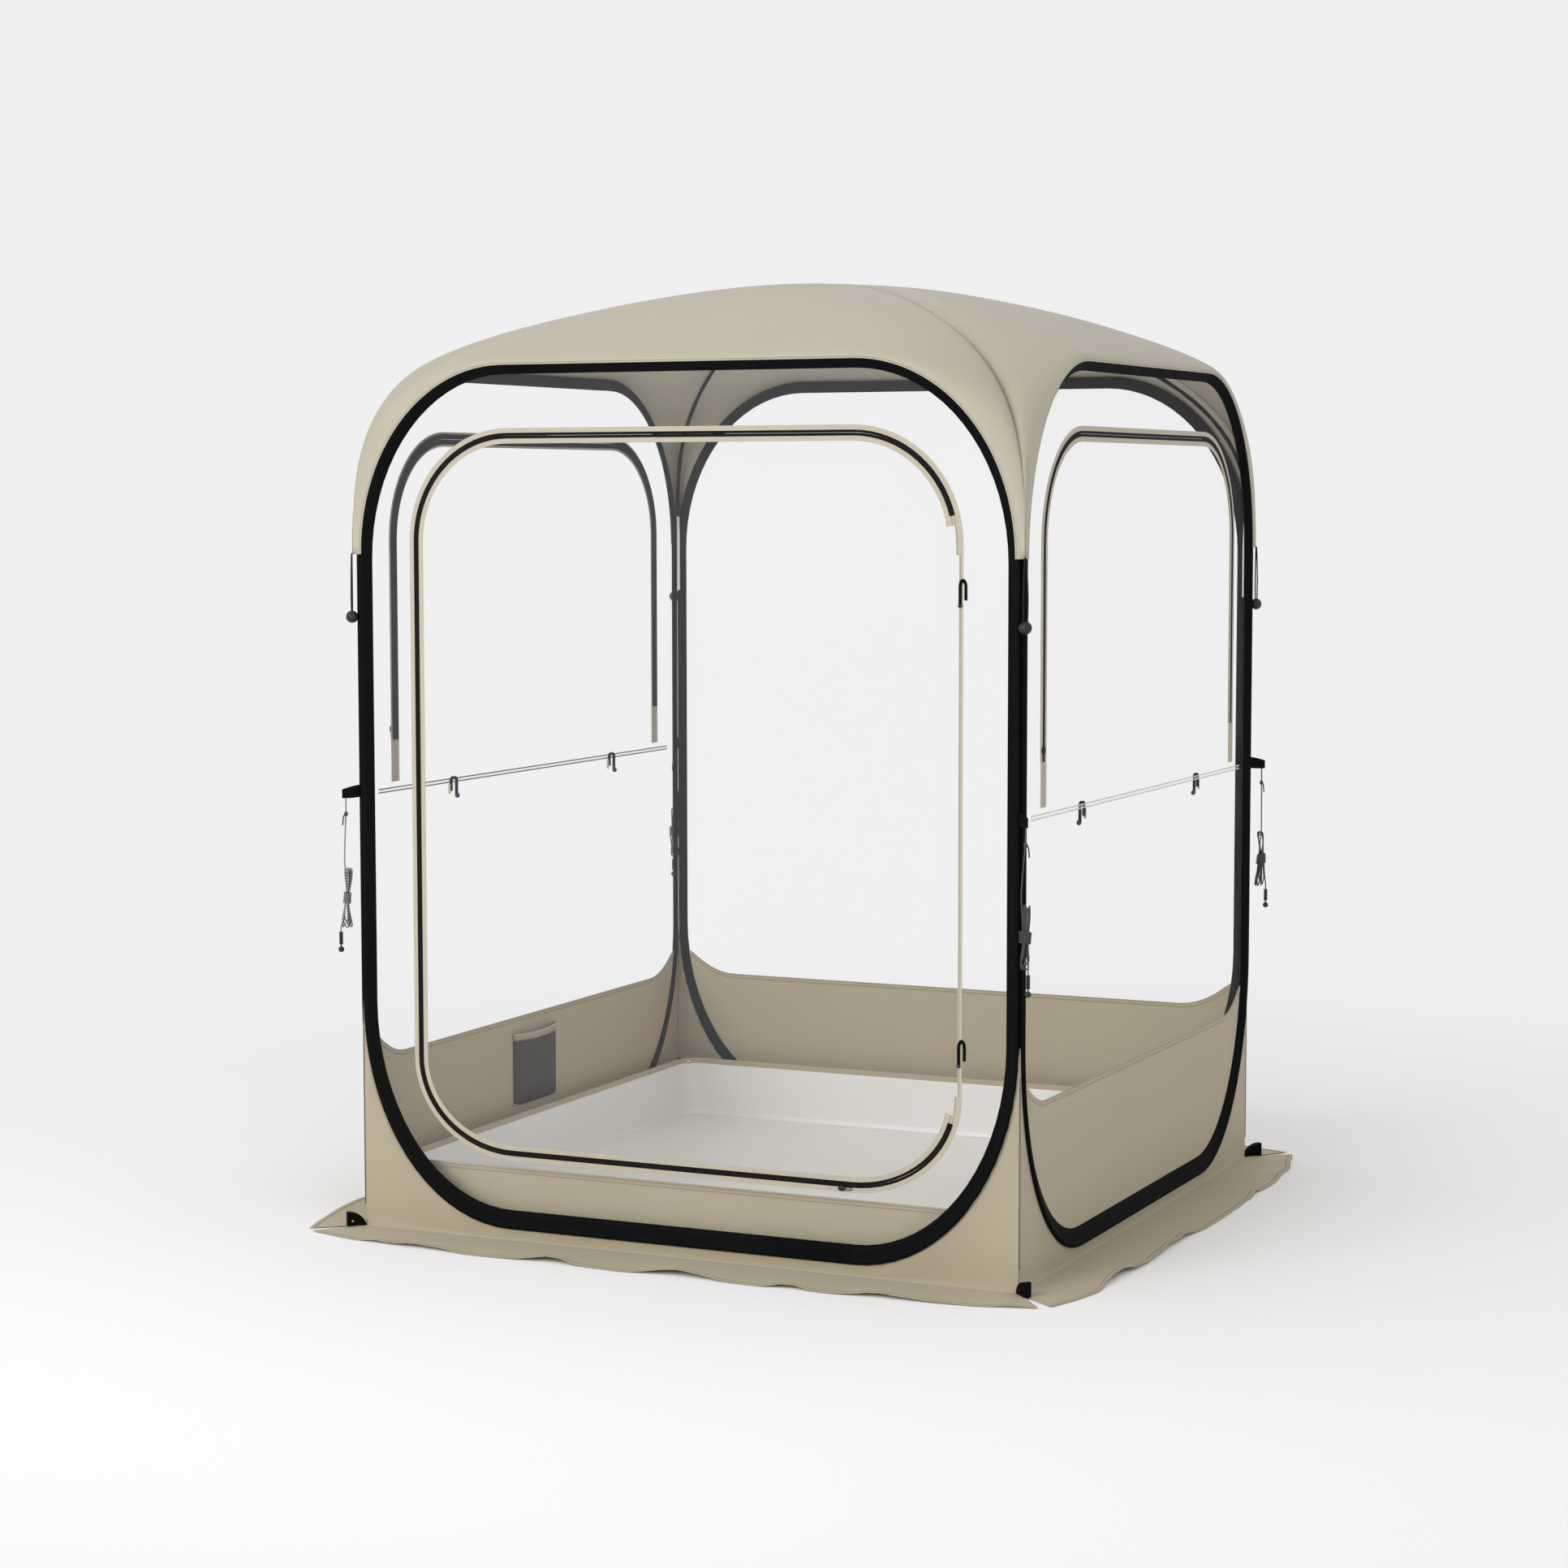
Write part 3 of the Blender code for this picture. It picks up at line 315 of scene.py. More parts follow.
def finish(kind):
    """Each finish is made once, when a piece first asks for it."""
    if kind not in MADE:
        tone = colours()
        # dark, the wall at 0.3 of its tone, is painted shade for the corner seams between the
        # ground walls.
        pale, dark = ([value * share for value in base]
                      for base, share in ((tone.canopy, 1.04), (tone.wall, 0.3)))
        makers = {
            "canopy": lambda: fabric("canopy_cloth", tone.canopy),
            "canopy_edge": lambda: fabric("canopy_binding", tone.canopy, (0.003, 0.0105)),
            "canopy_seam": lambda: fabric("canopy_seam_tape", tone.canopy, (0.002, 0.011)),
            "wall": lambda: fabric("wall_cloth", tone.wall),
            "wall_edge": lambda: fabric("wall_binding", tone.wall, (0.002, 0.009)),
            # Corner seam cloth: the wall colour darkened as painted shade where two ground walls
            # meet.
            "seam_painted_shade": lambda: fabric("seam_painted_shade_cloth", dark),
            "tape": lambda: fabric("zip_tape_cloth", pale, (0.0035,), 0.0009),
            "sleeve": lambda: webbing("sleeve_cloth", (0.0135, 0.0385, 0.060)),
            "webbing": lambda: webbing("black_strap"),
            "pole_sleeve": lambda: webbing("pole_sleeve_cloth", pitch=0.0016),
            "film": lambda: clear_film("wall_film"),
            "strap": lambda: clear_film("clear_strap_finish", 0.10, (0.86, 0.86, 0.84)),
            "strap_edge": lambda: moulded("strap_weld", (0.60, 0.58, 0.54), 0.45),
            "black": lambda: moulded("black_moulding", (0.006, 0.006, 0.006)),
            "elastic": lambda: moulded("black_elastic", (0.004, 0.004, 0.004), 0.8, 1500.0),
            "pole": lambda: moulded("pole_glassfibre", (0.80, 0.80, 0.78), 0.3),
            "steel": lambda: metal("sprung_steel", (0.55, 0.55, 0.56), 1.0),
            "slider": lambda: metal("slider_lacquer", (0.02, 0.02, 0.02)),
            "cord": lambda: braid("guy_cord_braid", 0.05),
            # The front-left cord's copy, with a wider pale tracer, is painted light: the side
            # light falling on that corner's hank.
            "sidelit_cord": lambda: braid("guy_cord_braid_sidelit", 0.22),
            "floor": lambda: coating("floor_coating"),
            "net": lambda: net("pocket_net", (0.055, 0.050, 0.045)),
            "coil": lambda: coil("zip_coil_teeth"),
        }
        MADE[kind] = makers[kind]()
    return MADE[kind]


# Mesh makers
def face_axes(face):
    turn = QUARTER * face
    return (Vector((math.cos(turn), math.sin(turn), 0.0)),
            Vector((math.sin(turn), -math.cos(turn), 0.0)))


def on_face(face, along, height, depth):
    run, out = face_axes(face)
    return run * along + out * depth + UP * height


def corner_axes(corner):
    turn = QUARTER * corner - QUARTER / 2
    return (Vector((math.cos(turn), math.sin(turn), 0.0)),
            Vector((-math.sin(turn), math.cos(turn), 0.0)))


def on_corner(corner, reach, side_step, height):
    out, side = corner_axes(corner)
    return out * reach + side * side_step + UP * height


def arc(count, quarters, first=0):
    """Cosine and sine at the steps of an arc, its ends included."""
    angles = [QUARTER * (first + quarters * step / count) for step in range(count + 1)]
    return [(math.cos(angle), math.sin(angle)) for angle in angles]


def circle(count, shift=0.0):
    """Cosine and sine at even steps round a circle."""
    angles = [4 * QUARTER * (step + shift) / count for step in range(count)]
    return [(math.cos(angle), math.sin(angle)) for angle in angles]


def squared(value, power):
    """The value, pushed away from nought, which squares a circle's sides."""
    return math.copysign(abs(value) ** power, value)


def piece(name, verts, faces, kind, uvs, body="tent", node=None):
    mesh = bpy.data.meshes.new(name)
    mesh.from_pydata([tuple(vert) for vert in verts], [], faces)
    layer = mesh.uv_layers.new(name="lengths")
    for loop in mesh.loops:
        layer.data[loop.index].uv = uvs[loop.vertex_index]
    mesh.materials.append(finish(kind))
    mesh.shade_smooth()
    mesh.set_sharp_from_angle(angle=0.7)
    obj = bpy.data.objects.new(name, mesh)
    bpy.context.scene.collection.objects.link(obj)
    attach(obj, body)
    if node:
        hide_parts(node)
    return obj


def reshape(obj, change):
    """Lets a function change the object's mesh, given as a bmesh."""
    shape = bmesh.new()
    shape.from_mesh(obj.data)
    change(shape)
    shape.to_mesh(obj.data)
    shape.free()


def thicken(obj, thick, offset, even=True):
    shell = obj.modifiers.new("thickness", "SOLIDIFY")
    shell.thickness = thick
    shell.offset = offset
    shell.use_even_offset = even


def lattice(rows, count, rows_close=False, counts_close=True):
    """Faces between neighbouring rows that all have the same count of points."""
    faces = []
    for row in range(rows if rows_close else rows - 1):
        here, there = row * count, (row + 1) % rows * count
        for step in range(count if counts_close else count - 1):
            after = (step + 1) % count
            faces.append((here + step, here + after, there + after, there + step))
    return faces


def grid(name, rows, kind, body="tent", node=None, thick=0.0, offset=-1.0,
         closed=False):
    """A sheet through rows of points, with its own lengths as UVs."""
    faces = [(first, *others[::-1])
             for first, *others in lattice(len(rows), len(rows[0]), closed, False)]
    verts = [point for row in rows for point in row]
    obj = piece(name, verts, faces, kind, grid_lengths(rows), body, node)
    if thick:
        thicken(obj, thick, offset)
    return obj


def grid_lengths(rows):
    uvs = []
    along = [0.0] * len(rows[0])
    previous = rows[0]
    for row in rows:
        across = 0.0
        for step, point in enumerate(row):
            along[step] += (point - previous[step]).length
            if step:
                across += (point - row[step - 1]).length
            uvs.append((along[step], across))
        previous = row
    return uvs


def ring_piece(name, rows, uvs, kind, body="tent", node=None, closed=False):
    """A tube through closed rings of points, capped where it isn't closed."""
    count = len(rows[0])
    faces = lattice(len(rows), count, closed)
    if not closed:
        faces.append(tuple(range(count))[::-1])
        faces.append(tuple(range((len(rows) - 1) * count, len(rows) * count)))
    verts = [point for row in rows for point in row]
    obj = piece(name, verts, faces, kind, uvs, body, node)
    reshape(obj, lambda shape: bmesh.ops.recalc_face_normals(shape, faces=shape.faces))
    return obj


def neighbours(points, index, closed):
    """The points before and after one point of a run, or the point itself at an open end."""
    count = len(points)
    return (points[index - 1] if closed or index else points[index],
            points[(index + 1) % count] if closed or index < count - 1 else points[index])


def inward_normals(outline, closed):
    """Unit normals to the left of a flat outline's run: inwards where it runs anticlockwise."""
    normals = []
    for index in range(len(outline)):
        before, after = neighbours(outline, index, closed)
        run = Vector((after[0] - before[0], after[1] - before[1])).normalized()
        normals.append(Vector((-run.y, run.x)))
    return normals


def band(name, face, outline, profile, kind, body="tent", node=None, closed=False):
    """A strip that follows a flat outline in a tent face. The profile is a closed ring of
    (inset, depth) pairs, or gives one for the outline's inward normal."""
    rows, uvs = [], []
    run = 0.0
    for index, ((along, height), normal) in enumerate(zip(outline,
                                                          inward_normals(outline, closed))):
        if index:
            run += math.dist(outline[index - 1], outline[index])
        section = profile(normal) if callable(profile) else profile
        across = 0.0
        for step, (inset, depth) in enumerate(section):
            if step:
                across += math.dist(section[step - 1], section[step])
            uvs.append((run, across))
        rows.append([on_face(face, along + normal.x * inset, height + normal.y * inset,
                             FACE + depth) for inset, depth in section])
    return ring_piece(name, rows, uvs, kind, body, node, closed)


def flat(start, end, low, high, draw=0.0):
    """The section of a flat strip, whose upper edges may be drawn in."""
    return [(start, low), (start + draw, high), (end - draw, high), (end, low)]


def tube(name, points, radius, kind, body="tent", node=None, sides=8, closed=False):
    """A round tube through points, with its run and its turn as UVs."""
    rows, uvs = [], []
    run = 0.0
    normal = None
    for index, point in enumerate(points):
        before, after = neighbours(points, index, closed)
        way = (after - before).normalized()
        if normal is None:
            normal = way.orthogonal().normalized()
        normal = (normal - way * normal.dot(way)).normalized()
        side = way.cross(normal)
        if index:
            run += (point - points[index - 1]).length
        width = radius(index / (len(points) - 1)) if callable(radius) else radius
        rows.append([point + (normal * lean + side * rise) * width
                     for lean, rise in circle(sides)])
        uvs += [(run, step / sides) for step in range(sides)]
    return ring_piece(name, rows, uvs, kind, body, node, closed)


def smooth_line(points, parts):
    """A smooth curve through points, as a list of closer points."""
    fine = []
    for index in range(len(points) - 1):
        before, start, end = points[max(0, index - 1)], points[index], points[index + 1]
        after = points[min(len(points) - 1, index + 2)]
        for part in range(parts):
            t = part / parts
            fine.append(0.5 * (2 * start + (end - before) * t
                               + (2 * before - 5 * start + 4 * end - after) * t * t
                               + (3 * start - before - 3 * end + after) * t ** 3))
    return fine + [points[-1]]


def lump(name, centre, radii, kind, body="tent", power=1.0):
    """A rounded solid of turned rings, squarer where its power is under 1."""
    steps = 14
    rows, uvs = [], []
    for ring, (height, sine) in list(enumerate(arc(steps, 2)))[1:-1]:
        width = sine ** power
        rows.append([centre + Vector((radii[0] * width * lean, radii[1] * width * rise,
                                      radii[2] * height)) for lean, rise in circle(steps * 2)])
        uvs += [(step / steps, ring / steps) for step in range(steps * 2)]
    return ring_piece(name, rows, uvs, kind, body)


def joined(name, parts, node=None):
    """One object from several made in place, which keeps their materials."""
    main = parts[0]
    with bpy.context.temp_override(active_object=main, object=main, selected_objects=parts,
                                   selected_editable_objects=parts):
        bpy.ops.object.join()
    main.name = name
    if node:
        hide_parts(node)
    return main


# Outlines
def even(start, end, steps):
    """Values at even steps from start to end."""
    return [start + (end - start) * step / steps for step in range(steps + 1)]


def between(start, end, runs):
    return [(start[0] + (end[0] - start[0]) * run / runs,
             start[1] + (end[1] - start[1]) * run / runs) for run in range(1, runs)]


def rounded_outline(half, low, high, wide, low_tall, high_tall, inset):
    """Closed outline with elliptical corners, anticlockwise from the lower right corner."""
    corners = ((1, low + low_tall, low_tall, 3), (1, high - high_tall, high_tall, 0),
               (-1, high - high_tall, high_tall, 1), (-1, low + low_tall, low_tall, 2))
    points = []
    for side, height, tall, quarter in corners:
        bend = [(side * (half - wide) + (wide - inset) * lean, height + (tall - inset) * rise)
                for lean, rise in arc(sizes().corner_steps, 1, quarter)]
        points += (between(points[-1], bend[0], 4) if points else []) + bend
    return points + between(points[-1], points[0], 4)


def hoop_outline(inset=0.0):
    return rounded_outline(HOOP_HALF, HOOP_FOOT, HOOP_TOP, HOOP_CORNER_WIDE,
                           HOOP_FOOT_CORNER_TALL, HOOP_TOP_CORNER_TALL, inset)


def door_outline(outset=0.0):
    return rounded_outline(DOOR_HALF, DOOR_LOW, DOOR_HIGH, DOOR_CORNER,
                           DOOR_LOW_CORNER, DOOR_CORNER, -outset)


def door_run(outset, tails=()):
    """The door's outline without its hinge side, from the upper right round to the lower
    right, with the heights of straight tails that run into the hinge side."""
    closed = door_outline(outset)
    steps = sizes().corner_steps
    run = closed[steps + 4:] + closed[:steps + 1]
    ends = [(DOOR_HALF + outset, height) for height in tails]
    return ends[:1] + run + ends[1:]


def arch_line(half, low, high, wide, tall, outset, runs=6):
    """An inverted U, from the foot of its right leg up and over to its left foot."""
    shoulder = high - tall
    right = [(half + outset, low + (shoulder - low) * run / runs) for run in range(runs)]
    right += [(half - wide + (wide + outset) * lean, shoulder + (tall + outset) * rise)
              for lean, rise in arc(sizes().corner_steps, 1)]
    left = [(-along, height) for along, height in reversed(right)]
    return right + between(right[-1], left[0], runs) + left


def window_arch(outset, low=WINDOW_LOW):
    return arch_line(WINDOW_HALF, low, WINDOW_HIGH, WINDOW_CORNER, WINDOW_CORNER, outset)


# Camera and stage
CAMERA_AT = (3.1200, -6.9784, 1.6042)
CAMERA_YAW, CAMERA_PITCH, CAMERA_ROLL = 0.433102, 0.086555, -0.001225
FOCAL_PIXELS, PHOTO_PIXELS = 4137.8, 1932
SENSOR_WIDE = 36.0
BACKGROUND = (0.871, 0.871, 0.871, 1.0)
FLOOR_PAINT = (0.93, 0.93, 0.93, 1.0)
WORLD_STRENGTH = 0.76
CAMERA_FAR, STUDIO_WIDE = 200.0, 80.0
FADE_FROM, FADE_TO = 1.4, 4.2
LAMPS = (("key_lamp", (4.0, -4.5, 5.0), (0.0, 0.0, 0.8), 4.5, 40.0),
         ("top_lamp", (-1.5, 1.0, 6.5), (0.0, 0.0, 1.0), 5.0, 20.0),
         ("front_lamp", (-2.2, -7.2, 3.4), (0.0, 0.0, 0.6), 5.0, 250.0))


def make_camera():
    camera = bpy.data.objects.new("photo_camera", bpy.data.cameras.new("photo_camera"))
    bpy.context.scene.collection.objects.link(camera)
    bpy.context.scene.camera = camera
    yaw, pitch, roll = CAMERA_YAW, CAMERA_PITCH, CAMERA_ROLL
    ahead = Vector((-math.sin(yaw) * math.cos(pitch), math.cos(yaw) * math.cos(pitch),
                    -math.sin(pitch)))
    right = Vector((math.cos(yaw), math.sin(yaw), 0.0))
    up = right.cross(ahead)
    right, up = (right * math.cos(roll) + up * math.sin(roll),
                 up * math.cos(roll) - right * math.sin(roll))
    turn = Matrix((right, up, -ahead)).transposed().to_4x4()
    camera.matrix_world = Matrix.Translation(CAMERA_AT) @ turn
    camera.data.sensor_width = SENSOR_WIDE
    camera.data.lens = FOCAL_PIXELS / PHOTO_PIXELS * SENSOR_WIDE
    camera.data.clip_end = CAMERA_FAR


def make_floor():
    """A pale floor that takes the tent's shadow and fades into the background."""
    bpy.ops.mesh.primitive_plane_add(size=STUDIO_WIDE, location=(0.0, 0.0, -0.0005))
    floor = bpy.context.object
    floor.name = "studio_floor"
    nodes = Nodes("studio_floor_paint")
    nodes.set({"Base Color": FLOOR_PAINT, "Roughness": 0.9, "Specular IOR Level": 0.0})
    place = nodes.add("TexCoord").outputs["Object"]
    reach = nodes.add("VectorMath", {0: place}, operation="LENGTH").outputs["Value"]
    share = nodes.add("MapRange", {"Value": reach, "From Min": FADE_FROM, "From Max": FADE_TO},
                      interpolation_type="SMOOTHSTEP").outputs[0]
    glow = nodes.add("Emission", {"Color": BACKGROUND, "Strength": 1.0})
    nodes.backdrop(("Camera", "Glossy", "Transmission"), glow, "Material Output", share)
    floor.data.materials.append(nodes.owner)


def make_world():
    world = bpy.data.worlds.new("studio")
    bpy.context.scene.world = world
    nodes = Nodes("studio", world)
    nodes.set({"Color": (1.0, 1.0, 1.0, 1.0), "Strength": WORLD_STRENGTH})
    glow = nodes.add("Background", {"Color": BACKGROUND})
    nodes.backdrop(("Camera", "Glossy"), glow, "World Output")


def add_lamp(name, place, aim, size, power):
    lamp = bpy.data.objects.new(name, bpy.data.lights.new(name, "AREA"))
    lamp.data.shape = "DISK"
    lamp.data.size = size
    lamp.data.energy = power
    lamp.location = place
    lamp.rotation_euler = (Vector(aim) - Vector(place)).to_track_quat("-Z", "Y").to_euler()
    bpy.context.scene.collection.objects.link(lamp)


class TENT_OT_stage(bpy.types.Operator):
    """Camera, pale floor, soft lamps and world"""
    bl_idname = "tent.stage"
    bl_label = "Stage"

    def execute(self, context):
        context.scene.view_settings.view_transform = "Standard"
        make_camera()
        make_floor()
        make_world()
        for lamp in LAMPS:
            add_lamp(*lamp)
        return {"FINISHED"}


# Hoops
SLEEVE_SIDE_WIDE, SLEEVE_FOOT_WIDE = 0.028, 0.040
TAB_HEIGHT = 0.960
TAB_LONG = 0.042
TAB_AT = HOOP_HALF - 0.0012
TAB_ROOT_AT = (TAB_AT + FACE + ROD_DEPTH) / DIAGONAL
TAB_SIDE = (TAB_AT - FACE - ROD_DEPTH) / DIAGONAL


def sleeve_ring(normal):
    """A rounded casing over the rod, whose band leans in, grips the film and widens at the
    foot."""
    low = max(0.0, normal.y) ** 1.5
    wide = SLEEVE_SIDE_WIDE + (SLEEVE_FOOT_WIDE - SLEEVE_SIDE_WIDE) * low
    return [(0.0, 0.0078), (0.0004, 0.0108), (0.0022, 0.0128), (0.0055, 0.0131),
            (0.0088, 0.0126), (0.0110, 0.0108), (0.0128, 0.0100), (wide * 0.6, 0.0068),
            (wide - 0.0015, 0.0026), (wide, 0.0016), (wide, -0.0016), (wide - 0.0015, -0.0024),
            (wide * 0.5, -0.0024), (0.0075, -0.0022), (0.0052, 0.0010), (0.0040, 0.0032),
            (0.0014, 0.0035), (0.0002, 0.0052)]


def guy_tab(corner, word, node):
    """A folded strap sewn to the sleeve, wider at its loop end."""
    ring = ((1, 1), (1, 0.4), (1, -0.4), (1, -1), (-1, -1), (-1, -0.4), (-1, 0.4), (-1, 1))
    rows = []
    for share in (0.0, 0.3, 0.55, 0.8, 0.93, 1.0):
        half = 0.0135 - 0.004 * share ** 2
        puff = 0.0011 + 0.0012 * math.sin(math.pi * min(1.0, share * 0.9))
        rows.append([on_corner(corner, TAB_ROOT_AT + TAB_LONG * share, TAB_SIDE + step * puff,
                               TAB_HEIGHT + up * half - 0.006 * share) for step, up in ring])
    uvs = [(index * 0.008, step * 0.004) for index in range(len(rows)) for step in range(8)]
    return ring_piece("guy_tab_" + word, rows, uvs, "webbing", node=node)


def dress_node(obj, kind):
    """Gives a fixed piece its finish."""
    obj.data.materials.clear()
    obj.data.materials.append(finish(kind))
    for part in obj.material_slots:
        part.material = finish(kind)


class TENT_OT_hoops(bpy.types.Operator):
    """Black sleeves round the four sprung hoops, with their guy tabs"""
    bl_idname = "tent.hoops"
    bl_label = "Hoops"

    def execute(self, context):
        for face, word in enumerate(FACES):
            node = "hoop_sleeve_" + word
            band("sleeve_" + word, face, hoop_outline(), sleeve_ring, "sleeve", node=node,
                 closed=True)
            guy_tab(face, CORNERS[face], node)
            dress_node(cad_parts["hoop_rod_" + word], "steel")
        return {"FINISHED"}


# Films and lower walls
FILM_INSET = 0.011
FILM_THICK = 0.0005
TRIM_LOW = 0.0008
WALL_LINE, WALL_LINE_CORNER = 0.365, 0.430
WALL_LINE_FLAT, WALL_LINE_RISE = 0.600, 0.140


def hoop_bend(along, inset):
    """How much of a hoop corner's height is left at a place along the face, from 1 to 0."""
    beyond = max(0.0, abs(along) - (HOOP_HALF - HOOP_CORNER_WIDE))
    return math.sqrt(1.0 - min(1.0, beyond / (HOOP_CORNER_WIDE - inset)) ** 2)


def hoop_top_at(along, inset):
    tall = HOOP_TOP_CORNER_TALL
    return HOOP_TOP - tall + (tall - inset) * hoop_bend(along, inset)


def hoop_foot_at(along, inset):
    tall = HOOP_FOOT_CORNER_TALL
    return HOOP_FOOT + tall - (tall - inset) * hoop_bend(along, inset)


def hoop_reach(height, inset):
    """Half width of the hoop's outline at a height in its lower corners."""
    rise = max(0.0, HOOP_FOOT + HOOP_FOOT_CORNER_TALL - height)
    share = max(0.0, 1.0 - (rise / (HOOP_FOOT_CORNER_TALL - inset)) ** 2)
    return HOOP_HALF - HOOP_CORNER_WIDE + (HOOP_CORNER_WIDE - inset) * math.sqrt(share)


def wall_top(along):
    share = min(1.0, max(0.0, (abs(along) - WALL_LINE_FLAT) / WALL_LINE_RISE))
    return WALL_LINE + (WALL_LINE_CORNER - WALL_LINE) * share ** 2


def wave(place, size, scale=2.4):
    return size * noise.noise(Vector(place) * scale)


def panel(name, face, reach, foot, top, kind, node, wave_size, thick=FILM_THICK):
    """A sheet in a tent face between two lines given as heights along the face."""
    columns, rows = 44, 18
    lines = []
    for column in range(columns + 1):
        along = reach * math.sin(QUARTER * (2.0 * column / columns - 1.0))
        line = []
        for row, height in enumerate(even(foot(along), top(along), rows)):
            hold = math.sin(math.pi * row / rows) * math.sin(math.pi * column / columns)
            lift = wave((along, height, face * 3.0), wave_size) * abs(hold) ** 0.6
            line.append(on_face(face, along, height, FACE + lift))
        lines.append(line)
    return grid(name, lines, kind, node=node, thick=thick, offset=0.0)


def surround(name, face, outer, inner, node, closed):
    """A film between two outlines that have the same number of points."""
    rows = 8
    lines = []
    for far, near in zip(outer, inner):
        line = []
        for row in range(rows + 1):
            share = row / rows
            along, height = (start + (end - start) * share for start, end in zip(far, near))
            lift = (wave((along, height, face * 3.0), sizes().film_wave)
                    * math.sin(math.pi * share))
            line.append(on_face(face, along, height, FACE + lift))
        lines.append(line)
    return grid(name, lines, "film", node=node, thick=FILM_THICK, offset=0.0, closed=closed)


def extent(obj, face):
    """Width and height of a sheet in its own face."""
    axes = (face_axes(face)[0], UP)
    spans = ([vert.co.dot(axis) for vert in obj.data.vertices] for axis in axes)
    return tuple(round(max(span) - min(span), 4) for span in spans)


def lower_wall(face, word):
    node = "lower_wall_" + word
    reach = hoop_reach(WALL_LINE_CORNER, FILM_INSET)
    wall = panel(node + "_cloth", face, reach,
                 lambda along: min(hoop_foot_at(along, FILM_INSET), wall_top(along) - 0.002),
                 lambda along: wall_top(along) - 0.0006, "wall", node, sizes().fabric_wave, 0.0008)
    extent(wall, face)
    steps, wide, thick, crown = 60, 0.011, 0.0006, 0.0003
    line = [(along, wall_top(along) - 0.008) for along in even(-reach, reach, steps)]
    ring = [(wide * share, 2 * thick + crown * math.sin(math.pi * share))
            for share in even(0.0, 1.0, 4)] + [(wide, thick), (0.0, thick)]
    for side, sign in (("outer", 1), ("inner", -1)):
        band("%s_%s_seam" % (node, side), face, line,
             [(inset, sign * depth) for inset, depth in ring], "wall_edge", node=node)


class TENT_OT_films(bpy.types.Operator):
    """Clear films and the fabric walls under them"""
    bl_idname = "tent.films"
    bl_label = "Films"

    def execute(self, context):
        size = sizes().film_wave
        reach = HOOP_HALF - FILM_INSET
        fold = WINDOW_LOW - SEAM
        outer = arch_line(HOOP_HALF, fold, HOOP_TOP, HOOP_CORNER_WIDE, HOOP_TOP_CORNER_TALL,
                          -FILM_INSET)
        for face, word in enumerate(FACES):
            node = "film_" + word
            if word == "front":
                film = surround("film_front_clear", face, hoop_outline(FILM_INSET),
                                door_outline(SEAM), node, True)
                hoop_outline(FILM_INSET + 0.05)
                continue
            if word == "back":
                film = panel("film_back_clear", face, reach - 0.0004, wall_top,
                             lambda along: hoop_top_at(along, FILM_INSET), "film", node, size * 2)
                extent(film, face)
            else:
                film = panel(node + "_lower", face, reach, wall_top, lambda along: fold, "film",
                             node, size)
                extent(film, face)
                film = surround(node + "_upper", face, outer, window_arch(SEAM, fold), node,
                                False)
                window_arch(0.05, fold)
            lower_wall(face, word)
        return {"FINISHED"}


# Door and windows
COIL_HALF, FACING_HALF = 0.0056, 0.0110
SLIT_LAP = SEAM - 0.0005
TAPE_WIDE, TAPE_TOP = 0.016, TRIM_LOW + 0.0007
DOOR_TAILS = (DOOR_HIGH - DOOR_CORNER - 0.020, DOOR_LOW + DOOR_LOW_CORNER + 0.005)
HINGE_OUT, HINGE_WIDE = 0.0075, 0.009
TAPE_RAISED, COIL_RAISED = 0.0072, 0.100
FOLD_TIE_AT = 0.385


def tape_side(name, face, run, body, moving, node=None):
    """One side of a zip's tape, up to the slit."""
    sign, start = (1.0, -SLIT_LAP) if moving else (-1.0, 0.0)
    band(name, face, run, flat(start, sign * TAPE_WIDE, TRIM_LOW, TAPE_TOP), "tape", body, node)


def coil_side(name, face, run, body, moving, node=None):
    """Half of the coil on the outer side, and the dark facing behind it on the inner side."""
    sign, start = (1.0, -SLIT_LAP) if moving else (-1.0, 0.0)
    base = TAPE_TOP - 0.0001
    outer = [(start, base), (start, base + 0.0007), (sign * 0.0025, base + 0.0009),
             (sign * 0.0048, base + 0.0007), (sign * COIL_HALF, base + 0.0003),
             (sign * COIL_HALF, base)]
    inner = [(start, -0.0020), (start, -0.0009), (sign * FACING_HALF, -0.0009),
             (sign * FACING_HALF, -0.0017)]
    joined(name, [band(name, face, run, ring, "coil", body) for ring in (outer, inner)], node)


def flap_film(name, face, outline, body, node):
    """A film flap: rings of its outline drawn in to its middle."""
    rows, count = 14, len(outline)
    heights = [height for along, height in outline]
    middle = (sum(along for along, height in outline) / count, (max(heights) + min(heights)) / 2)
    uvs, holds = [], []
    for row in range(rows):
        share = 1.0 - row / rows
        uvs += [tuple(centre + (value - centre) * share for centre, value in zip(middle, point))
                for point in outline]
        holds += [math.sin(QUARTER * min(1.0, 2.0 * row / rows))] * count
    uvs.append(middle)
    holds.append(1.0)
    size, seed = sizes().film_wave, face * 3.0 + 7.0
    verts = [on_face(face, along, height, FACE + wave((along, height, seed), size) * hold)
             for (along, height), hold in zip(uvs, holds)]
    faces = lattice(rows, count)
    last = (rows - 1) * count
    faces += [(last + step, last + (step + 1) % count, last + count) for step in range(count)]
    film = piece(name, verts, faces, "film", uvs, body, node)
    thicken(film, FILM_THICK, 0.0, even=False)
    extent(film, face)


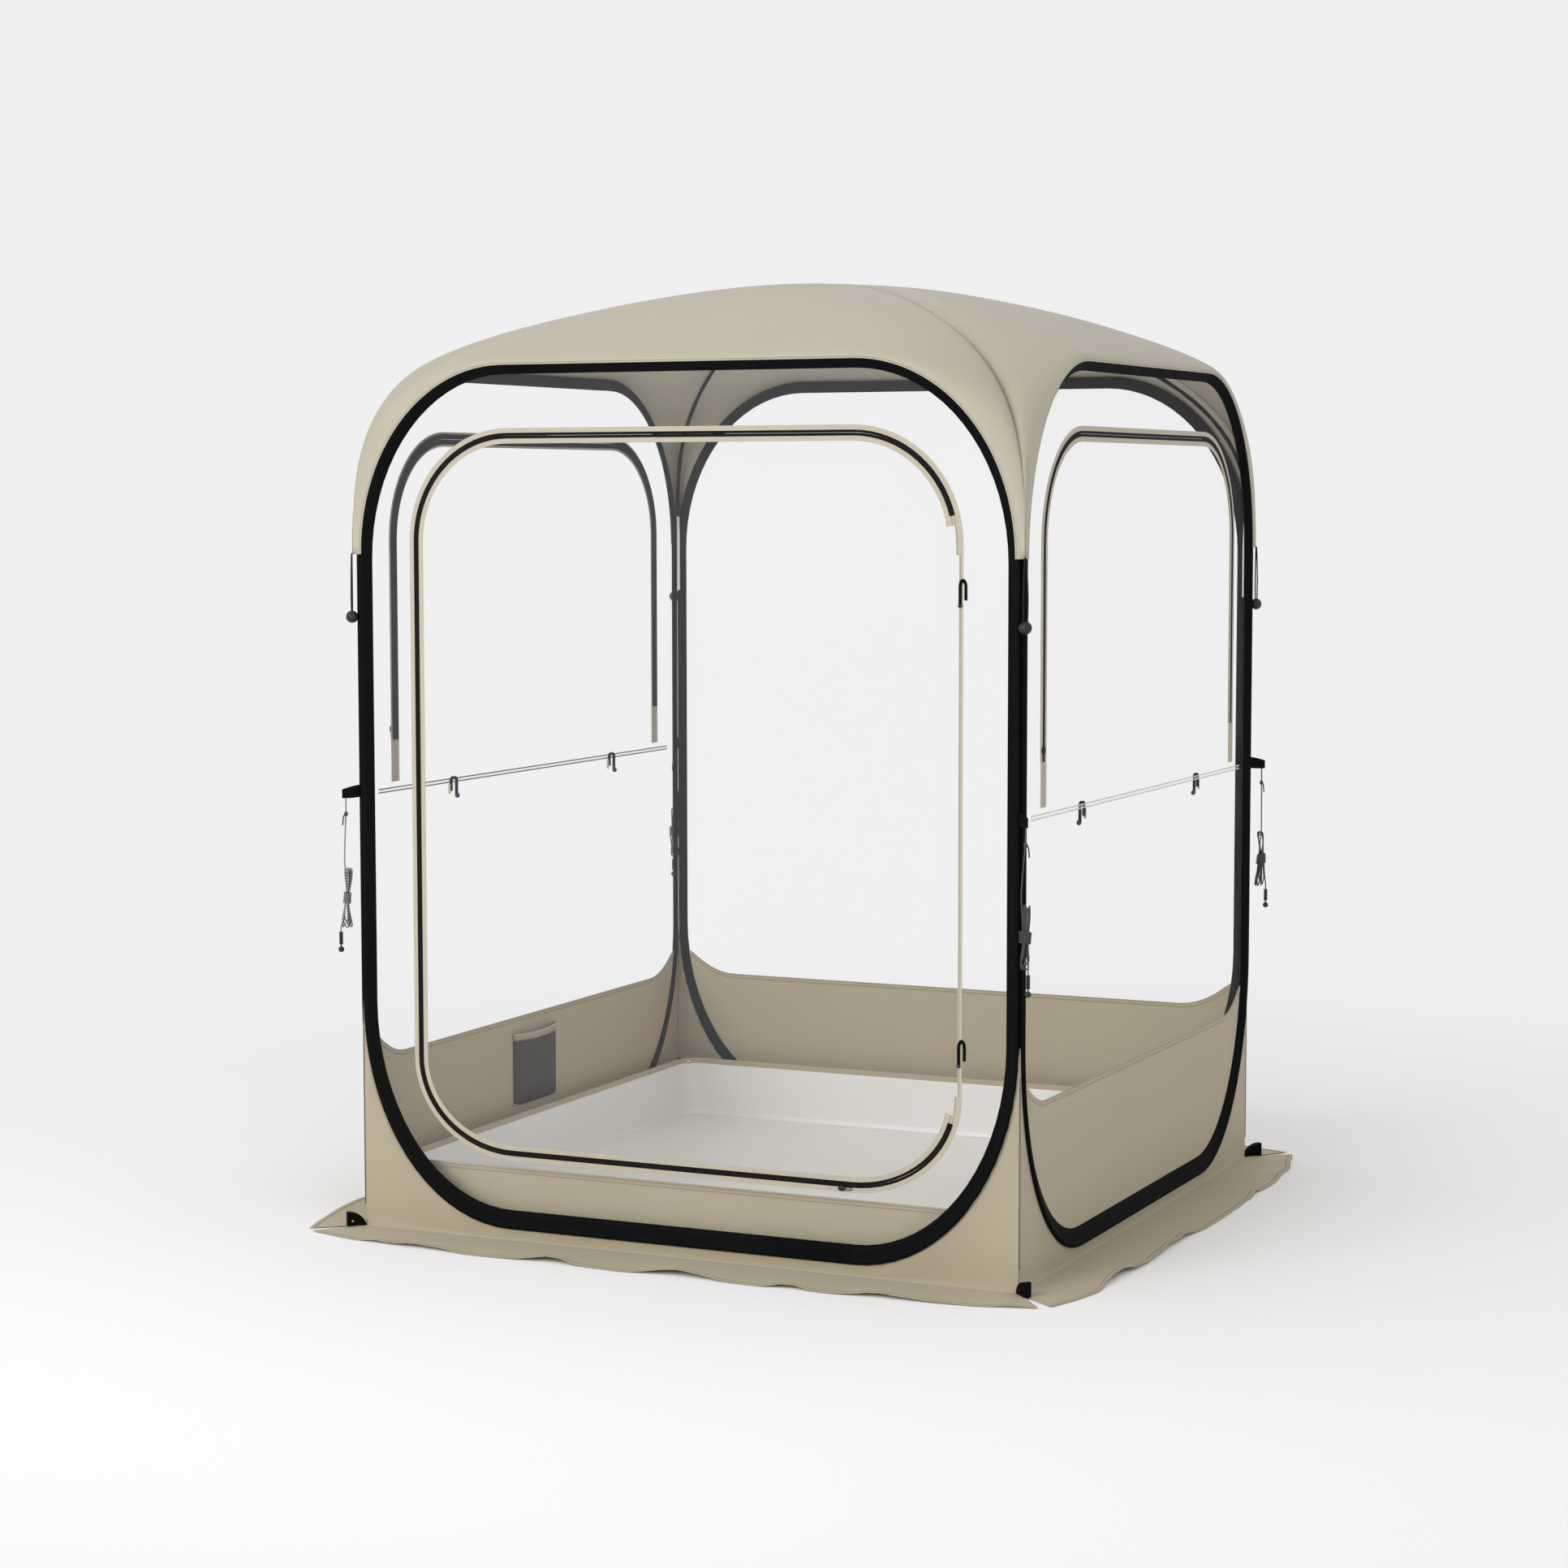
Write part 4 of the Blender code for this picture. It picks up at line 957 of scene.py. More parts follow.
def door_tie(node):
    """A strap folded over beside the hinge strip, with a flat knob at one foot."""
    name = node + "_strap"
    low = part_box(node)[0][2]
    middle, half, tall = DOOR_HALF + 0.0165, 0.0062, 0.054
    bend = half * 2.2
    line = [(middle + half * lean, low + tall - bend + bend * rise) for lean, rise in arc(12, 2)]
    line = [(middle + half, low + 0.014), *line, (middle - half, low + 0.003)]
    strap = band(name, 0, line, flat(-0.0032, 0.0032, 0.0018, 0.0042, 0.0003), "webbing")
    knob = lump(name + "_knob", on_face(0, middle - half, low + 0.003, FACE + 0.0040),
                (0.0046, 0.0021, 0.0034), "black", power=0.7)
    joined(name, [strap, knob], node)


class TENT_OT_door(bpy.types.Operator):
    """Door film, both sides of its zip, the hinge strip and the ties"""
    bl_idname = "tent.door"
    bl_label = "Door"

    def execute(self, context):
        flap_film("door_film", 0, door_outline(), "door", "door_panel")
        tape_side("door_tape_fixed", 0, door_run(SEAM, DOOR_TAILS), "tent", False, "zip_door")
        coil_side("door_coil_fixed", 0, door_run(SEAM)[3:-3], "tent", False, "zip_door")
        band("door_hinge_strip", 0,
             [(DOOR_HALF + HINGE_OUT, height) for height in reversed(DOOR_TAILS)],
             flat(0.0, -HINGE_WIDE, TRIM_LOW, TAPE_TOP), "tape", node="zip_door")
        tape_side("door_tape_moving", 0, door_run(0.0)[2:-2], "door", True)
        coil_side("door_coil_moving", 0, door_run(0.0)[3:-3], "door", True)
        door_tie("door_tie_upper")
        door_tie("door_tie_lower")
        return {"FINISHED"}


def fold_tie(name, face, along, top, node):
    """A strap hooked over the fold line: a black leg with a knob, and a pale one."""
    foot, half = top - 0.040, 0.0120
    line = [(along + half * lean, top - 0.004 + 0.006 * rise) for lean, rise in arc(8, 2)]
    line = [(along + half, foot + 0.012), *line, (along - half, foot)]
    pale_at = along + half + 0.0065
    run, out = face_axes(face)
    radii = [abs(run[axis]) * 0.0068 + abs(out[axis]) * 0.0050 for axis in (0, 1)]
    black = band(name, face, line, flat(0.0030, -0.0030, -0.0012, -0.0066, -0.0003), "webbing")
    pale = band("pale_leg", face, [(pale_at, foot + 0.006), (pale_at, top - 0.012)],
                flat(0.0020, -0.0020, -0.0012, -0.0052), "tape")
    knob = lump("tie_knob", on_face(face, along - half, foot, FACE - 0.0060),
                (*radii, 0.0055), "black", power=0.8)
    joined(name, [black, pale, knob], node)


def fold_strap(face, word):
    """A clear strap with two welded edges along the fold line, and its ties."""
    node = "flap_strap_" + word
    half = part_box(node)[1][1]
    top = WINDOW_LOW - 0.0048
    wide, thick, weld_low, weld_top = 0.010, 0.0008, TRIM_LOW + 0.0007, TRIM_LOW + 0.0013
    weld = [(0.0, weld_low), (0.0007, weld_top), (0.0020, weld_top), (0.0026, weld_low)]
    line = [(along, top - wide) for along in even(-half, half, 30)]
    band("fold_strap_" + word, face, line, flat(0.0, wide, TRIM_LOW, TRIM_LOW + thick), "strap",
         node=node)
    for number, edge in enumerate((0.0, 0.0076)):
        band("fold_strap_edge_%s_%d" % (word, number), face,
             [(along, height + edge) for along, height in line], weld, "strap_edge", node=node)
    for number, along in enumerate((-FOLD_TIE_AT, FOLD_TIE_AT)):
        fold_tie("fold_tie_%s_%d" % (word, number), face, along, top, node)


class TENT_OT_windows(bpy.types.Operator):
    """Window flaps, their zips and the straps along their fold lines"""
    bl_idname = "tent.windows"
    bl_label = "Windows"

    def execute(self, context):
        for face, word in ((1, "right"), (3, "left")):
            body = "window_" + word
            flap_film("window_film_" + word, face, window_arch(0.0), body, "window_flap_" + word)
            sides = (("tape", tape_side, WINDOW_LOW + TAPE_RAISED),
                     ("coil", coil_side, WINDOW_LOW + COIL_RAISED))
            for part, side, low in sides:
                side("window_%s_fixed_%s" % (part, word), face, window_arch(SEAM, low), "tent",
                     False, "zip_" + word)
            for part, side, low in sides:
                side("window_%s_moving_%s" % (part, word), face, window_arch(0.0, low), body,
                     True)
            fold_strap(face, word)
        return {"FINISHED"}


# Sliders
BLOCK_HALF, BRIDGE_HALF = (0.0056, 0.0026, 0.0068), (0.0016, 0.0018, 0.0055)
BLOCK_AHEAD, BRIDGE_UP = 0.014, 0.0012
RING_LONG, RING_WIDE, RING_WIRE = 0.0095, 0.0028, 0.0008


def shell_block(name, centre, across, out, way, half):
    """A block with rounded ends in a slider's own axes."""
    rows = []
    for share in even(-1.0, 1.0, 8):
        narrow = max(0.25, 1.0 - abs(share) ** 3) ** 0.5
        middle = centre + way * share * half[2]
        rows.append([middle + across * squared(lean, 0.45) * half[0] * narrow
                     + out * squared(rise, 0.45) * half[1] for lean, rise in circle(12, 0.5)])
    uvs = [(0.002 * index, 0.001 * step) for index in range(9) for step in range(12)]
    return ring_piece(name, rows, uvs, "slider")


class TENT_OT_sliders(bpy.types.Operator):
    """Zip sliders with their ring pulls"""
    bl_idname = "tent.sliders"
    bl_label = "Sliders"

    def execute(self, context):
        for word, face in (("door", 0), ("right", 1), ("left", 3)):
            node = "zip_slider_" + word
            low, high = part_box(node)
            run, out = face_axes(face)
            centre = (Vector(low) + Vector(high)) / 2
            way, across = (-run, UP) if word == "door" else (UP, run)
            root = on_face(face, centre.dot(run), centre.z, FACE + 0.0050)
            head = root + way * BLOCK_AHEAD
            block = shell_block("slider_block", head, across, out, way, BLOCK_HALF)
            bridge = shell_block("slider_bridge", head + out * BRIDGE_UP, across, out, way,
                                 BRIDGE_HALF)
            ring = [root + way * (0.0005 + RING_LONG * rise) + across * RING_WIDE * lean
                    for lean, rise in circle(20)]
            pull = tube("slider_ring", ring, RING_WIRE, "slider", closed=True)
            slider = joined(node + "_finished", [block, bridge, pull], node)
            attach(slider, "slider_" + word)
        return {"FINISHED"}


# Ground walls, skirts and stake loops
WALL_FACE = FACE + 0.005
WALL_TOP, WALL_FOOT, SKIRT_LOW = 0.499, 0.0045, 0.0016
SKIRT_SHORT, SKIRT_DRAWN, SKIRT_CREEP = 0.080, 0.060, 0.013
# The corner seams are real seams, coloured darker as painted shade along the corner.
CORNER_SEAM_AT, CORNER_SEAM_RADIUS = (0.050, 0.15, 0.25, 0.35, 0.44), 0.0017


def skirt_profile(face, share):
    """Points from the skirt's edge in to the wall's foot and up to the hoop."""
    edge = WALL_FACE - 0.0003
    along = edge * share
    reach = along * (1.0 + ((SKIRT_OUT - SKIRT_SHORT) / edge - 1.0) * abs(share))
    outer = SKIRT_OUT - SKIRT_DRAWN * abs(share) ** 6
    ripple = (wave((share * 4.0, face * 5.0, 0.0), 1.0, 1.3)
              + 0.5 * wave((share * 9.0, face * 5.0 + 2.0, 0.0), 1.0, 1.3))
    lift = sizes().skirt_lift
    points = []
    for step in range(9):
        inward = step / 9
        loose = (1.0 - inward) ** 1.3 * (1.0 - abs(share) ** 8)
        rise = SKIRT_LOW + lift * max(0.0, ripple + 0.25) * loose
        rise += 0.35 * lift * abs(wave((share * 14.0, inward * 2.0, face), 1.0)) * inward
        depth = outer + (WALL_FACE - outer) * inward - SKIRT_CREEP * (ripple + 0.4) * loose
        points.append((reach + (along - reach) * inward, rise, depth))
    points += [(along, 0.0018, WALL_FACE + 0.003), (along, WALL_FOOT, WALL_FACE + 0.0008)]
    top = min(hoop_foot_at(along, -0.0003), WALL_TOP) if abs(share) < 0.9999 else WALL_TOP
    return points + [(along, WALL_FOOT + (top - WALL_FOOT) * row / 10, WALL_FACE + 0.0006)
                     for row in range(1, 11)]


def ground_wall(face, word):
    """A wall with its skirt, and a turned-over edge sewn down along the skirt's rim."""
    node = "ground_wall_" + word
    shares = [math.sin(angle) for angle in even(-QUARTER, QUARTER, 72)]
    lines = [[on_face(face, *point) for point in skirt_profile(face, share)] for share in shares]
    wall = grid(node + "_cloth", lines, "wall", node=node, thick=0.001, offset=0.0)
    hem = []
    for line in lines:
        rim, inward = line[0], (line[1] - line[0]).normalized()
        hem.append([rim + inward * inset + UP * (0.0009 if inset else 0.0006)
                    for inset in (0.0, 0.004, 0.008, 0.012)])
    grid("skirt_hem_" + word, hem, "wall_edge", node=node, thick=0.0007)


def stake_loop(corner, word):
    """A stiff folded strap that rises away from the corner, with a small eye."""
    back = (WALL_FACE + 0.001) * DIAGONAL + 0.0012
    foot, long, tall, half = 0.0032, 0.0405, 0.0305, 0.0078
    places = [(1.0 - sine, cosine) for cosine, sine in arc(12, 1)]
    places += [(0.0, 0.0), (0.5, 0.0), (1.0, 0.0), (1.0, 0.5)]
    rows, uvs = [], []
    run, last = 0.0, None
    for lean, rise in places:
        far = (back + long * lean, foot + tall * rise)
        near = (back + 0.024 + 0.008 * lean, foot + 0.0060 + 0.007 * rise)
        run += math.dist(last or far, far)
        last = far
        rows.append([on_corner(corner, reach, side, height) for (reach, height), side in
                     ((far, -half), (far, half), (near, half), (near, -half))])
        uvs += [(run, across) for across in (0.0, 0.015, 0.022, 0.037)]
    ring_piece("stake_loop_%s_strap" % word, rows, uvs, "webbing", node="stake_loop_" + word,
               closed=True)


class TENT_OT_ground(bpy.types.Operator):
    """Ground walls with their skirts, corner seams darkened with painted shade, and stake loops"""
    bl_idname = "tent.ground"
    bl_label = "Ground walls"

    def execute(self, context):
        for face, word in enumerate(FACES):
            ground_wall(face, word)
        reach = (WALL_FACE + 0.0008) * DIAGONAL
        for corner, word in enumerate(CORNERS):
            stake_loop(corner, word)
            line = [on_corner(corner, reach, 0.0, height) for height in CORNER_SEAM_AT]
            # A seam tube up each corner, darkened as painted shade where the two walls meet.
            tube("corner_seam_" + word, line, CORNER_SEAM_RADIUS, "seam_painted_shade")
        return {"FINISHED"}


# Canopy
CANOPY_CLOTH = 0.0009
CANOPY_LAP = 0.009
WELD = 0.00002
RISE = APEX - CANOPY_SKIN - LEG_END
EDGE_TOP = HOOP_TOP + 0.0005
CROWN = APEX - CANOPY_SKIN - EDGE_TOP
EDGE_WIDE = CANOPY_HALF - HOOP_HALF + HOOP_CORNER_WIDE
RIDGE_BOW, RIDGE_SWELL, CROWN_SWELL, GORE_DIP = 1.25, 0.68, 0.8, 0.4
EDGE_BEND = (CANOPY_HALF - EDGE_WIDE, HOOP_TOP - HOOP_TOP_CORNER_TALL)


def ridge(turn):
    return (CANOPY_HALF * math.cos(turn) ** RIDGE_BOW,
            LEG_END + RISE * math.sin(turn) ** RIDGE_SWELL)


def gore_point(along, height, turn):
    """A point of a gore from its edge arch's point: along, up, outward."""
    reach, ridge_height = ridge(turn)
    middle = reach * (1.0 - GORE_DIP * math.sin(turn) * math.cos(turn))
    crown = EDGE_TOP + CROWN * max(0.0, 1.0 - (middle / CANOPY_HALF) ** 2) ** CROWN_SWELL
    share = along / CANOPY_HALF
    arch = (height - LEG_END) / (EDGE_TOP - LEG_END)
    blend = math.sin(turn)
    lift = (1.0 - blend) * arch + blend * (1.0 - share ** 2)
    return (share * reach, ridge_height + (crown - ridge_height) * lift,
            middle + (reach - middle) * share ** 2)


def canopy_arch(steps=26):
    """Half of the canopy's edge arch, from the corner leg's end to the middle."""
    tall = HOOP_TOP_CORNER_TALL + 0.0005
    first = math.asin((LEG_END - EDGE_BEND[1]) / tall)
    angles = [first + (QUARTER - first) * (step / steps) for step in range(steps + 1)]
    points = [(EDGE_BEND[0] + EDGE_WIDE * math.cos(angle), EDGE_BEND[1] + tall * math.sin(angle))
              for angle in angles]
    points[0] = (CANOPY_HALF, LEG_END)
    return points + [(EDGE_BEND[0] * (1.0 - step / 8), points[-1][1]) for step in range(1, 9)]


def canopy_edge():
    half = canopy_arch()
    return half + [(-along, height) for along, height in reversed(half[:-1])]


def lap_point(along, height):
    """The border's lower edge, which laps over the hoop's face."""
    centre = Vector(EDGE_BEND)
    if along <= centre.x:
        return along, height - CANOPY_LAP
    away = Vector((along, height)) - centre
    side_lap = CANOPY_LAP + CANOPY_HALF - HOOP_HALF
    inward = side_lap + (CANOPY_LAP - side_lap) * max(0.0, away.y / HOOP_TOP_CORNER_TALL)
    if height <= LEG_END:
        return along - inward, height
    away = away.normalized() * inward
    return along - away.x, height - away.y


def ring_turns():
    rings = sizes().canopy_rings
    return [QUARTER * (ring / rings) ** 1.3 for ring in range(rings + 1)]


def close_gores(shape):
    """Joins the gores at their ridges and turns their faces outward."""
    bmesh.ops.remove_doubles(shape, verts=shape.verts, dist=WELD)
    bmesh.ops.dissolve_degenerate(shape, dist=WELD, edges=shape.edges)
    bmesh.ops.recalc_face_normals(shape, faces=shape.faces)
    if sum(face.normal.z for face in shape.faces) < 0.0:
        bmesh.ops.reverse_faces(shape, faces=shape.faces)


def canopy_cloth():
    verts, faces, uvs = [], [], []
    turns, arch = ring_turns(), canopy_edge()
    count = len(turns) + 1
    for face in range(4):
        base = len(verts)
        for along, height in arch:
            low = lap_point(abs(along), height)
            local = [(math.copysign(low[0], along), low[1], CANOPY_HALF),
                     (along, height, CANOPY_HALF)]
            local += [gore_point(along, height, turn) for turn in turns[1:]]
            run, last = 0.0, None
            for index, point in enumerate(local):
                place = on_face(face, *point)
                run += (place - (last or place)).length
                last = place
                hold = 0.0
                if 1 < index < count:
                    free = math.sin(math.pi * (index - 1) / (count - 1)) ** 0.5
                    hold = free * (1.0 - abs(along / CANOPY_HALF) ** 6)
                verts.append(place + UP * (wave(place, sizes().fabric_wave * 3.0, 3.2) * hold))
                uvs.append((along, run))
        faces += [tuple(base + index for index in quad)
                  for quad in lattice(len(arch), count, False, False)]
    cloth = piece("canopy_cloth", verts, faces, "canopy", uvs, "canopy_cover", "canopy")
    reshape(cloth, close_gores)
    cloth.data.set_sharp_from_angle(angle=1.2)
    thicken(cloth, CANOPY_CLOTH, 1.0)


def canopy_binding(face, word):
    """A bound edge, folded round the border's rim."""
    section = [(-0.0004, 0.0002), (-0.0004, CANOPY_CLOTH + 0.0002),
               (0.0010, CANOPY_CLOTH + 0.0006), (0.0045, CANOPY_CLOTH + 0.0007),
               (0.0080, CANOPY_CLOTH + 0.0005), (0.0088, CANOPY_CLOTH - 0.0001)]
    rows, uvs = [], []
    run = 0.0
    for along, height in canopy_edge():
        side = math.copysign(1.0, along)
        low = Vector(lap_point(abs(along), height))
        up = (Vector((abs(along), height)) - low).normalized()
        if height <= LEG_END:
            up = Vector((1.0, 0.0))
        row = []
        for inset, depth in section:
            here = low + up * inset
            row.append(on_face(face, side * here.x, here.y, CANOPY_HALF + depth))
        if rows:
            run += (row[0] - rows[-1][0]).length
        uvs += [(run, max(0.0, inset)) for inset, depth in section]
        rows.append(row)
    ring_piece("canopy_binding_" + word, rows, uvs, "canopy_edge", "canopy_cover", "canopy")


def beside_ridge(corner, arch, turn, distance):
    """A point of the cloth at a distance from the ridge: reach, side, height."""
    out, side = corner_axes(corner)
    spot, *places = [on_face(corner, *gore_point(*point, turn)) for point in arch]
    travelled = 0.0
    for place in places if distance > 0.0 else ():
        step = (place - spot).length
        if travelled + step >= distance:
            spot = spot.lerp(place, (distance - travelled) / step)
            break
        travelled += step
        spot = place
    return spot.dot(out), abs(spot.dot(side)) if distance > 0.0 else 0.0, spot.z


def ridge_seam(corner, word):
    """A tape over the seam where two gores meet."""
    half_wide = 0.0065
    out, side = corner_axes(corner)
    arch = canopy_arch(60)
    rows = []
    for turn in ring_turns()[:-1]:
        row = []
        for offset in (-1.0, -0.5, 0.0, 0.5, 1.0):
            reach, across, height = beside_ridge(corner, arch, turn, abs(offset) * half_wide)
            row.append(out * reach + side * math.copysign(across, offset) + UP * height)
        rows.append(row)
    seam = grid("canopy_seam_" + word, rows, "canopy_seam", "canopy_cover", "canopy")
    if seam.data.polygons[len(seam.data.polygons) // 2].normal.z < 0.0:
        seam.data.flip_normals()
    thicken(seam, CANOPY_CLOTH + 0.0007, 1.0, even=False)


class TENT_OT_canopy(bpy.types.Operator):
    """Canopy cloth with its bound edge and ridge seams"""
    bl_idname = "tent.canopy"
    bl_label = "Canopy"

    def execute(self, context):
        canopy_cloth()
        for face, word in enumerate(FACES):
            canopy_binding(face, word)
        for corner, word in enumerate(CORNERS):
            ridge_seam(corner, word)
        return {"FINISHED"}


# Poles and elastic ties
POLE_RADIUS, POLE_SLEEVE_RADIUS, ELASTIC_RADIUS = 0.0042, 0.0047, 0.0016
POLE_AT = FACE - 0.0025 - 0.00425 - 0.00045


def pole_line(number):
    """One roof pole's run, from corner to corner under the canopy's ridges."""
    drop = 0.009 + number * 0.0088
    half = [(POLE_AT, LEG_END - 0.118), (POLE_AT, LEG_END - 0.059)]
    for ring in range(9):
        turn = QUARTER * (ring / 8) ** 1.2
        reach, height = ridge(turn)
        half.append((min(POLE_AT, reach - drop * math.cos(turn) / DIAGONAL),
                     height - drop * math.sin(turn)))
    half[-1] = (0.0, half[-1][1])
    half += [(-reach, height) for reach, height in reversed(half[:-1])]
    out = corner_axes(number)[0]
    return smooth_line([out * (reach * DIAGONAL) + UP * height for reach, height in half], 4)


def sleeve_runs(line):
    """The two stretches of the pole that the black sleeve covers."""
    middle = len(line) // 2
    covered = [(index, point) for index, point in enumerate(line)
               if point.xy.length > 0.05 and point.z > LEG_END + 0.06]
    return ([point for index, point in covered if index < middle],
            [point for index, point in covered if index > middle])


def canopy_tie(corner, word):
    """An elastic loop under the canopy's leg, with its ball."""
    node = "canopy_tie_" + word
    low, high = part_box(node)
    reach = ((Vector(low) + Vector(high)) / 2).dot(corner_axes(corner)[0])
    ball = 0.0133
    parts = [lump(node + "_ball", on_corner(corner, reach, 0.0, LEG_END - 0.135),
                  (ball, ball, ball), "black", "canopy_cover")]
    for sign in (-1, 1):
        strand = [on_corner(corner, reach - inward, sign * across, LEG_END + up)
                  for inward, across, up in ((0.0, 0.0045, -0.127), (0.0, 0.0052, -0.075),
                                             (0.0005, 0.0030, -0.020), (0.001, 0.0012, 0.002))]
        parts.append(tube("tie_strand", smooth_line(strand, 6), ELASTIC_RADIUS,
                          "elastic", "canopy_cover"))
    joined(node + "_finished", parts, node)


class TENT_OT_poles(bpy.types.Operator):
    """Crossed roof poles in black sleeves, and the canopy's elastic ties"""
    bl_idname = "tent.poles"
    bl_label = "Poles"

    def execute(self, context):
        for number, word in enumerate(("over", "under")):
            node = "roof_pole_" + word
            line = pole_line(number)
            tube(node + "_rod", line, POLE_RADIUS, "pole", node=node, sides=12)
            for side, run in enumerate(sleeve_runs(line)):
                tube("%s_sleeve_%d" % (node, side), run,
                     lambda share: POLE_SLEEVE_RADIUS + 0.0004 * math.sin(share * 60.0),
                     "pole_sleeve", node=node, sides=12)
        for corner, word in enumerate(CORNERS):
            canopy_tie(corner, word)
        return {"FINISHED"}


# Guy lines
CORD_WIDE, CORD_DRAWN = 0.003, 0.001455
CORD_REACH = TAB_ROOT_AT + TAB_LONG - 0.008
CORD_TOP = TAB_HEIGHT - 0.0153
LOOP_TOPS = (0.94, 1.0, 0.90, 0.97, 1.0)
LOOP_FEET = (1.0, 0.86, 1.0, 0.78, 0.94)
LOOPS, PER_LOOP, WRAPS, PER_WRAP = 3, 32, 7, 16
HANK_PITCH, WRAP_DROP, HANK_WAIST = 0.0036, 0.0034, 0.0021
HANK_TIP, HANK_BEND, WRAP_CLEAR = 0.009, 0.0022, 1.35
SWELL_UP, SWELL_DOWN, FAN_UP, FAN_DOWN = 0.0072, 0.0104, 0.10, 0.55
KNOT_RADII, TAIL_RADIUS = (0.0042, 0.0042, 0.0055), 0.0014


def hank_route(corner):
    """Uneven loops side by side, then the turns round their waist and the way out."""
    half_tall = (HANK_TOP - HANK_FOOT) / 2
    middle_height = HANK_TOP - half_tall
    half_tall -= HANK_TIP
    first = CORD_REACH - HANK_PITCH * 1.5
    entry = first - HANK_PITCH
    middle = first + HANK_PITCH * LOOPS / 2
    quarter = PER_LOOP // 4
    points = [(entry, 0.0, HANK_TOP), (entry, 0.0, HANK_TOP - 0.003)]
    for step in range(-quarter, LOOPS * PER_LOOP + PER_LOOP // 2 + 1):
        angle = 4 * QUARTER * step / PER_LOOP
        up, lean = math.sin(angle), math.cos(angle)
        number = int((step + quarter) / PER_LOOP + corner) % 5
        limit = 1.0 if step < quarter else (LOOP_TOPS if up > 0.0 else LOOP_FEET)[number]
        swell = HANK_WAIST + (SWELL_UP if up > 0.0 else SWELL_DOWN) * abs(up) ** 1.5
        fan = 1.0 + (FAN_DOWN * abs(up) ** 1.3 if up < 0.0 else FAN_UP * up)
        reach = first + HANK_PITCH * step / PER_LOOP
        points.append((middle + (reach - middle) * fan, swell * squared(lean, 0.5),
                       middle_height + half_tall * limit * squared(up, 0.8)))
    last = points[-1][0]
    centre = (last + entry) / 2
    half_deep = (last - entry) / 2 + HANK_PITCH * WRAP_CLEAR
    half_wide = HANK_WAIST + HANK_PITCH * WRAP_CLEAR
    for step in range(WRAPS * PER_WRAP + 1):
        angle = 4 * QUARTER * step / PER_WRAP
        points.append((centre + half_deep * squared(math.cos(angle), 0.5),
                       -half_wide * squared(math.sin(angle), 0.5),
                       middle_height + WRAP_DROP * (WRAPS / 2 - step / PER_WRAP)))
    turned = []
    for reach, across, height in points:
        share = (height - middle_height) / half_tall
        angle = 0.75 * share + 0.25 + 0.35 * corner
        bend = HANK_BEND * math.sin(2.6 * share + corner)
        lean, rise = math.cos(angle), math.sin(angle)
        turned.append((centre + (reach - centre) * lean - across * rise + bend,
                       TAB_SIDE + (reach - centre) * rise + across * lean, height))
    reach, across, height = turned[-1]
    turned.append((reach * 0.6 + CAD_END * 0.4, across * 0.6 + TAB_SIDE * 0.4,
                   height * 0.6 + HANK_FOOT * 0.4 - 0.003))
    return turned + [(CAD_END, TAB_SIDE, HANK_FOOT + 0.010), (CAD_END, TAB_SIDE, HANK_FOOT)]


def guy_knot(corner, word):
    """The knot under the tab, with its short tail."""
    start, *rest = [on_corner(corner, CORD_REACH - 0.0003 + reach, TAB_SIDE + side,
                              TAB_HEIGHT - 0.050 - down)
                    for reach, side, down in ((0.0, 0.0, 0.0), (0.006, 0.003, 0.004),
                                              (0.009, 0.004, 0.024))]
    knot = lump("guy_knot_" + word, start, KNOT_RADII, "cord", power=0.8)
    tail = tube("knot_tail", smooth_line([start, *rest], 6), TAIL_RADIUS, "elastic")
    joined("guy_knot_" + word, [knot, tail])


def guy_runner(corner, word, end):
    """A ribbed runner on the cord, and the ball at the cord's end."""
    long, ribs, ball, neck, groove, rib_out = 0.028, 6, 0.0065, 0.0016, 0.0034, 0.0046
    pitch = long / ribs
    profile = [(neck, 0.0)]
    for rib in range(ribs):
        profile += [(rib_out, pitch * rib + 0.0004), (rib_out, pitch * (rib + 0.55)),
                    (groove, pitch * (rib + 0.7)), (groove, pitch * (rib + 0.95))]
    centre = end[2] - RUNNER_LOW[2] - ball
    profile += [(neck, long), (neck, long + 0.004)]
    profile += [(ball * sine, centre - ball * cosine) for cosine, sine in arc(12, 2)[1:-1]]
    rows = [[on_corner(corner, end[0] + radius * lean, end[1] + radius * rise, end[2] - down)
             for lean, rise in circle(16)] for radius, down in profile]
    uvs = [(step * 0.002, down) for radius, down in profile for step in range(16)]
    return ring_piece("guy_runner_%s_finished" % word, rows, uvs, "black",
                      node="guy_runner_" + word)


class TENT_OT_guys(bpy.types.Operator):
    """Guy cords that hang as wrapped hanks, with their runners"""
    bl_idname = "tent.guys"
    bl_label = "Guy lines"

    def execute(self, context):
        for corner, word in enumerate(CORNERS):
            route = hank_route(corner)
            free = []
            for step in range(20):
                share = step / 20
                ease = share * share * (3.0 - 2.0 * share)
                free.append((CORD_REACH + (route[0][0] - CORD_REACH) * ease,
                             TAB_SIDE + (route[0][1] - TAB_SIDE) * ease,
                             CORD_TOP + (HANK_TOP - CORD_TOP) * share))
            path = [on_corner(corner, *point) for point in free + route]
            # The front-left corner takes the paler braid copy, as painted light for the side light
            # on its hank.
            kind = "sidelit_cord" if word == "front_left" else "cord"
            cord = tube("guy_line_" + word, path, CORD_DRAWN, kind, sides=10)
            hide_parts("guy_cord_" + word, "guy_hank_" + word)
            runner = guy_runner(corner, word, route[-1])
            guy_knot(corner, word)
        return {"FINISHED"}


# Floor tub and pocket
TUB_HALF, TUB_THICK, TUB_CORNER = 0.7195, 0.0006, 0.045
TUB_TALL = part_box("floor_tub")[1][2]


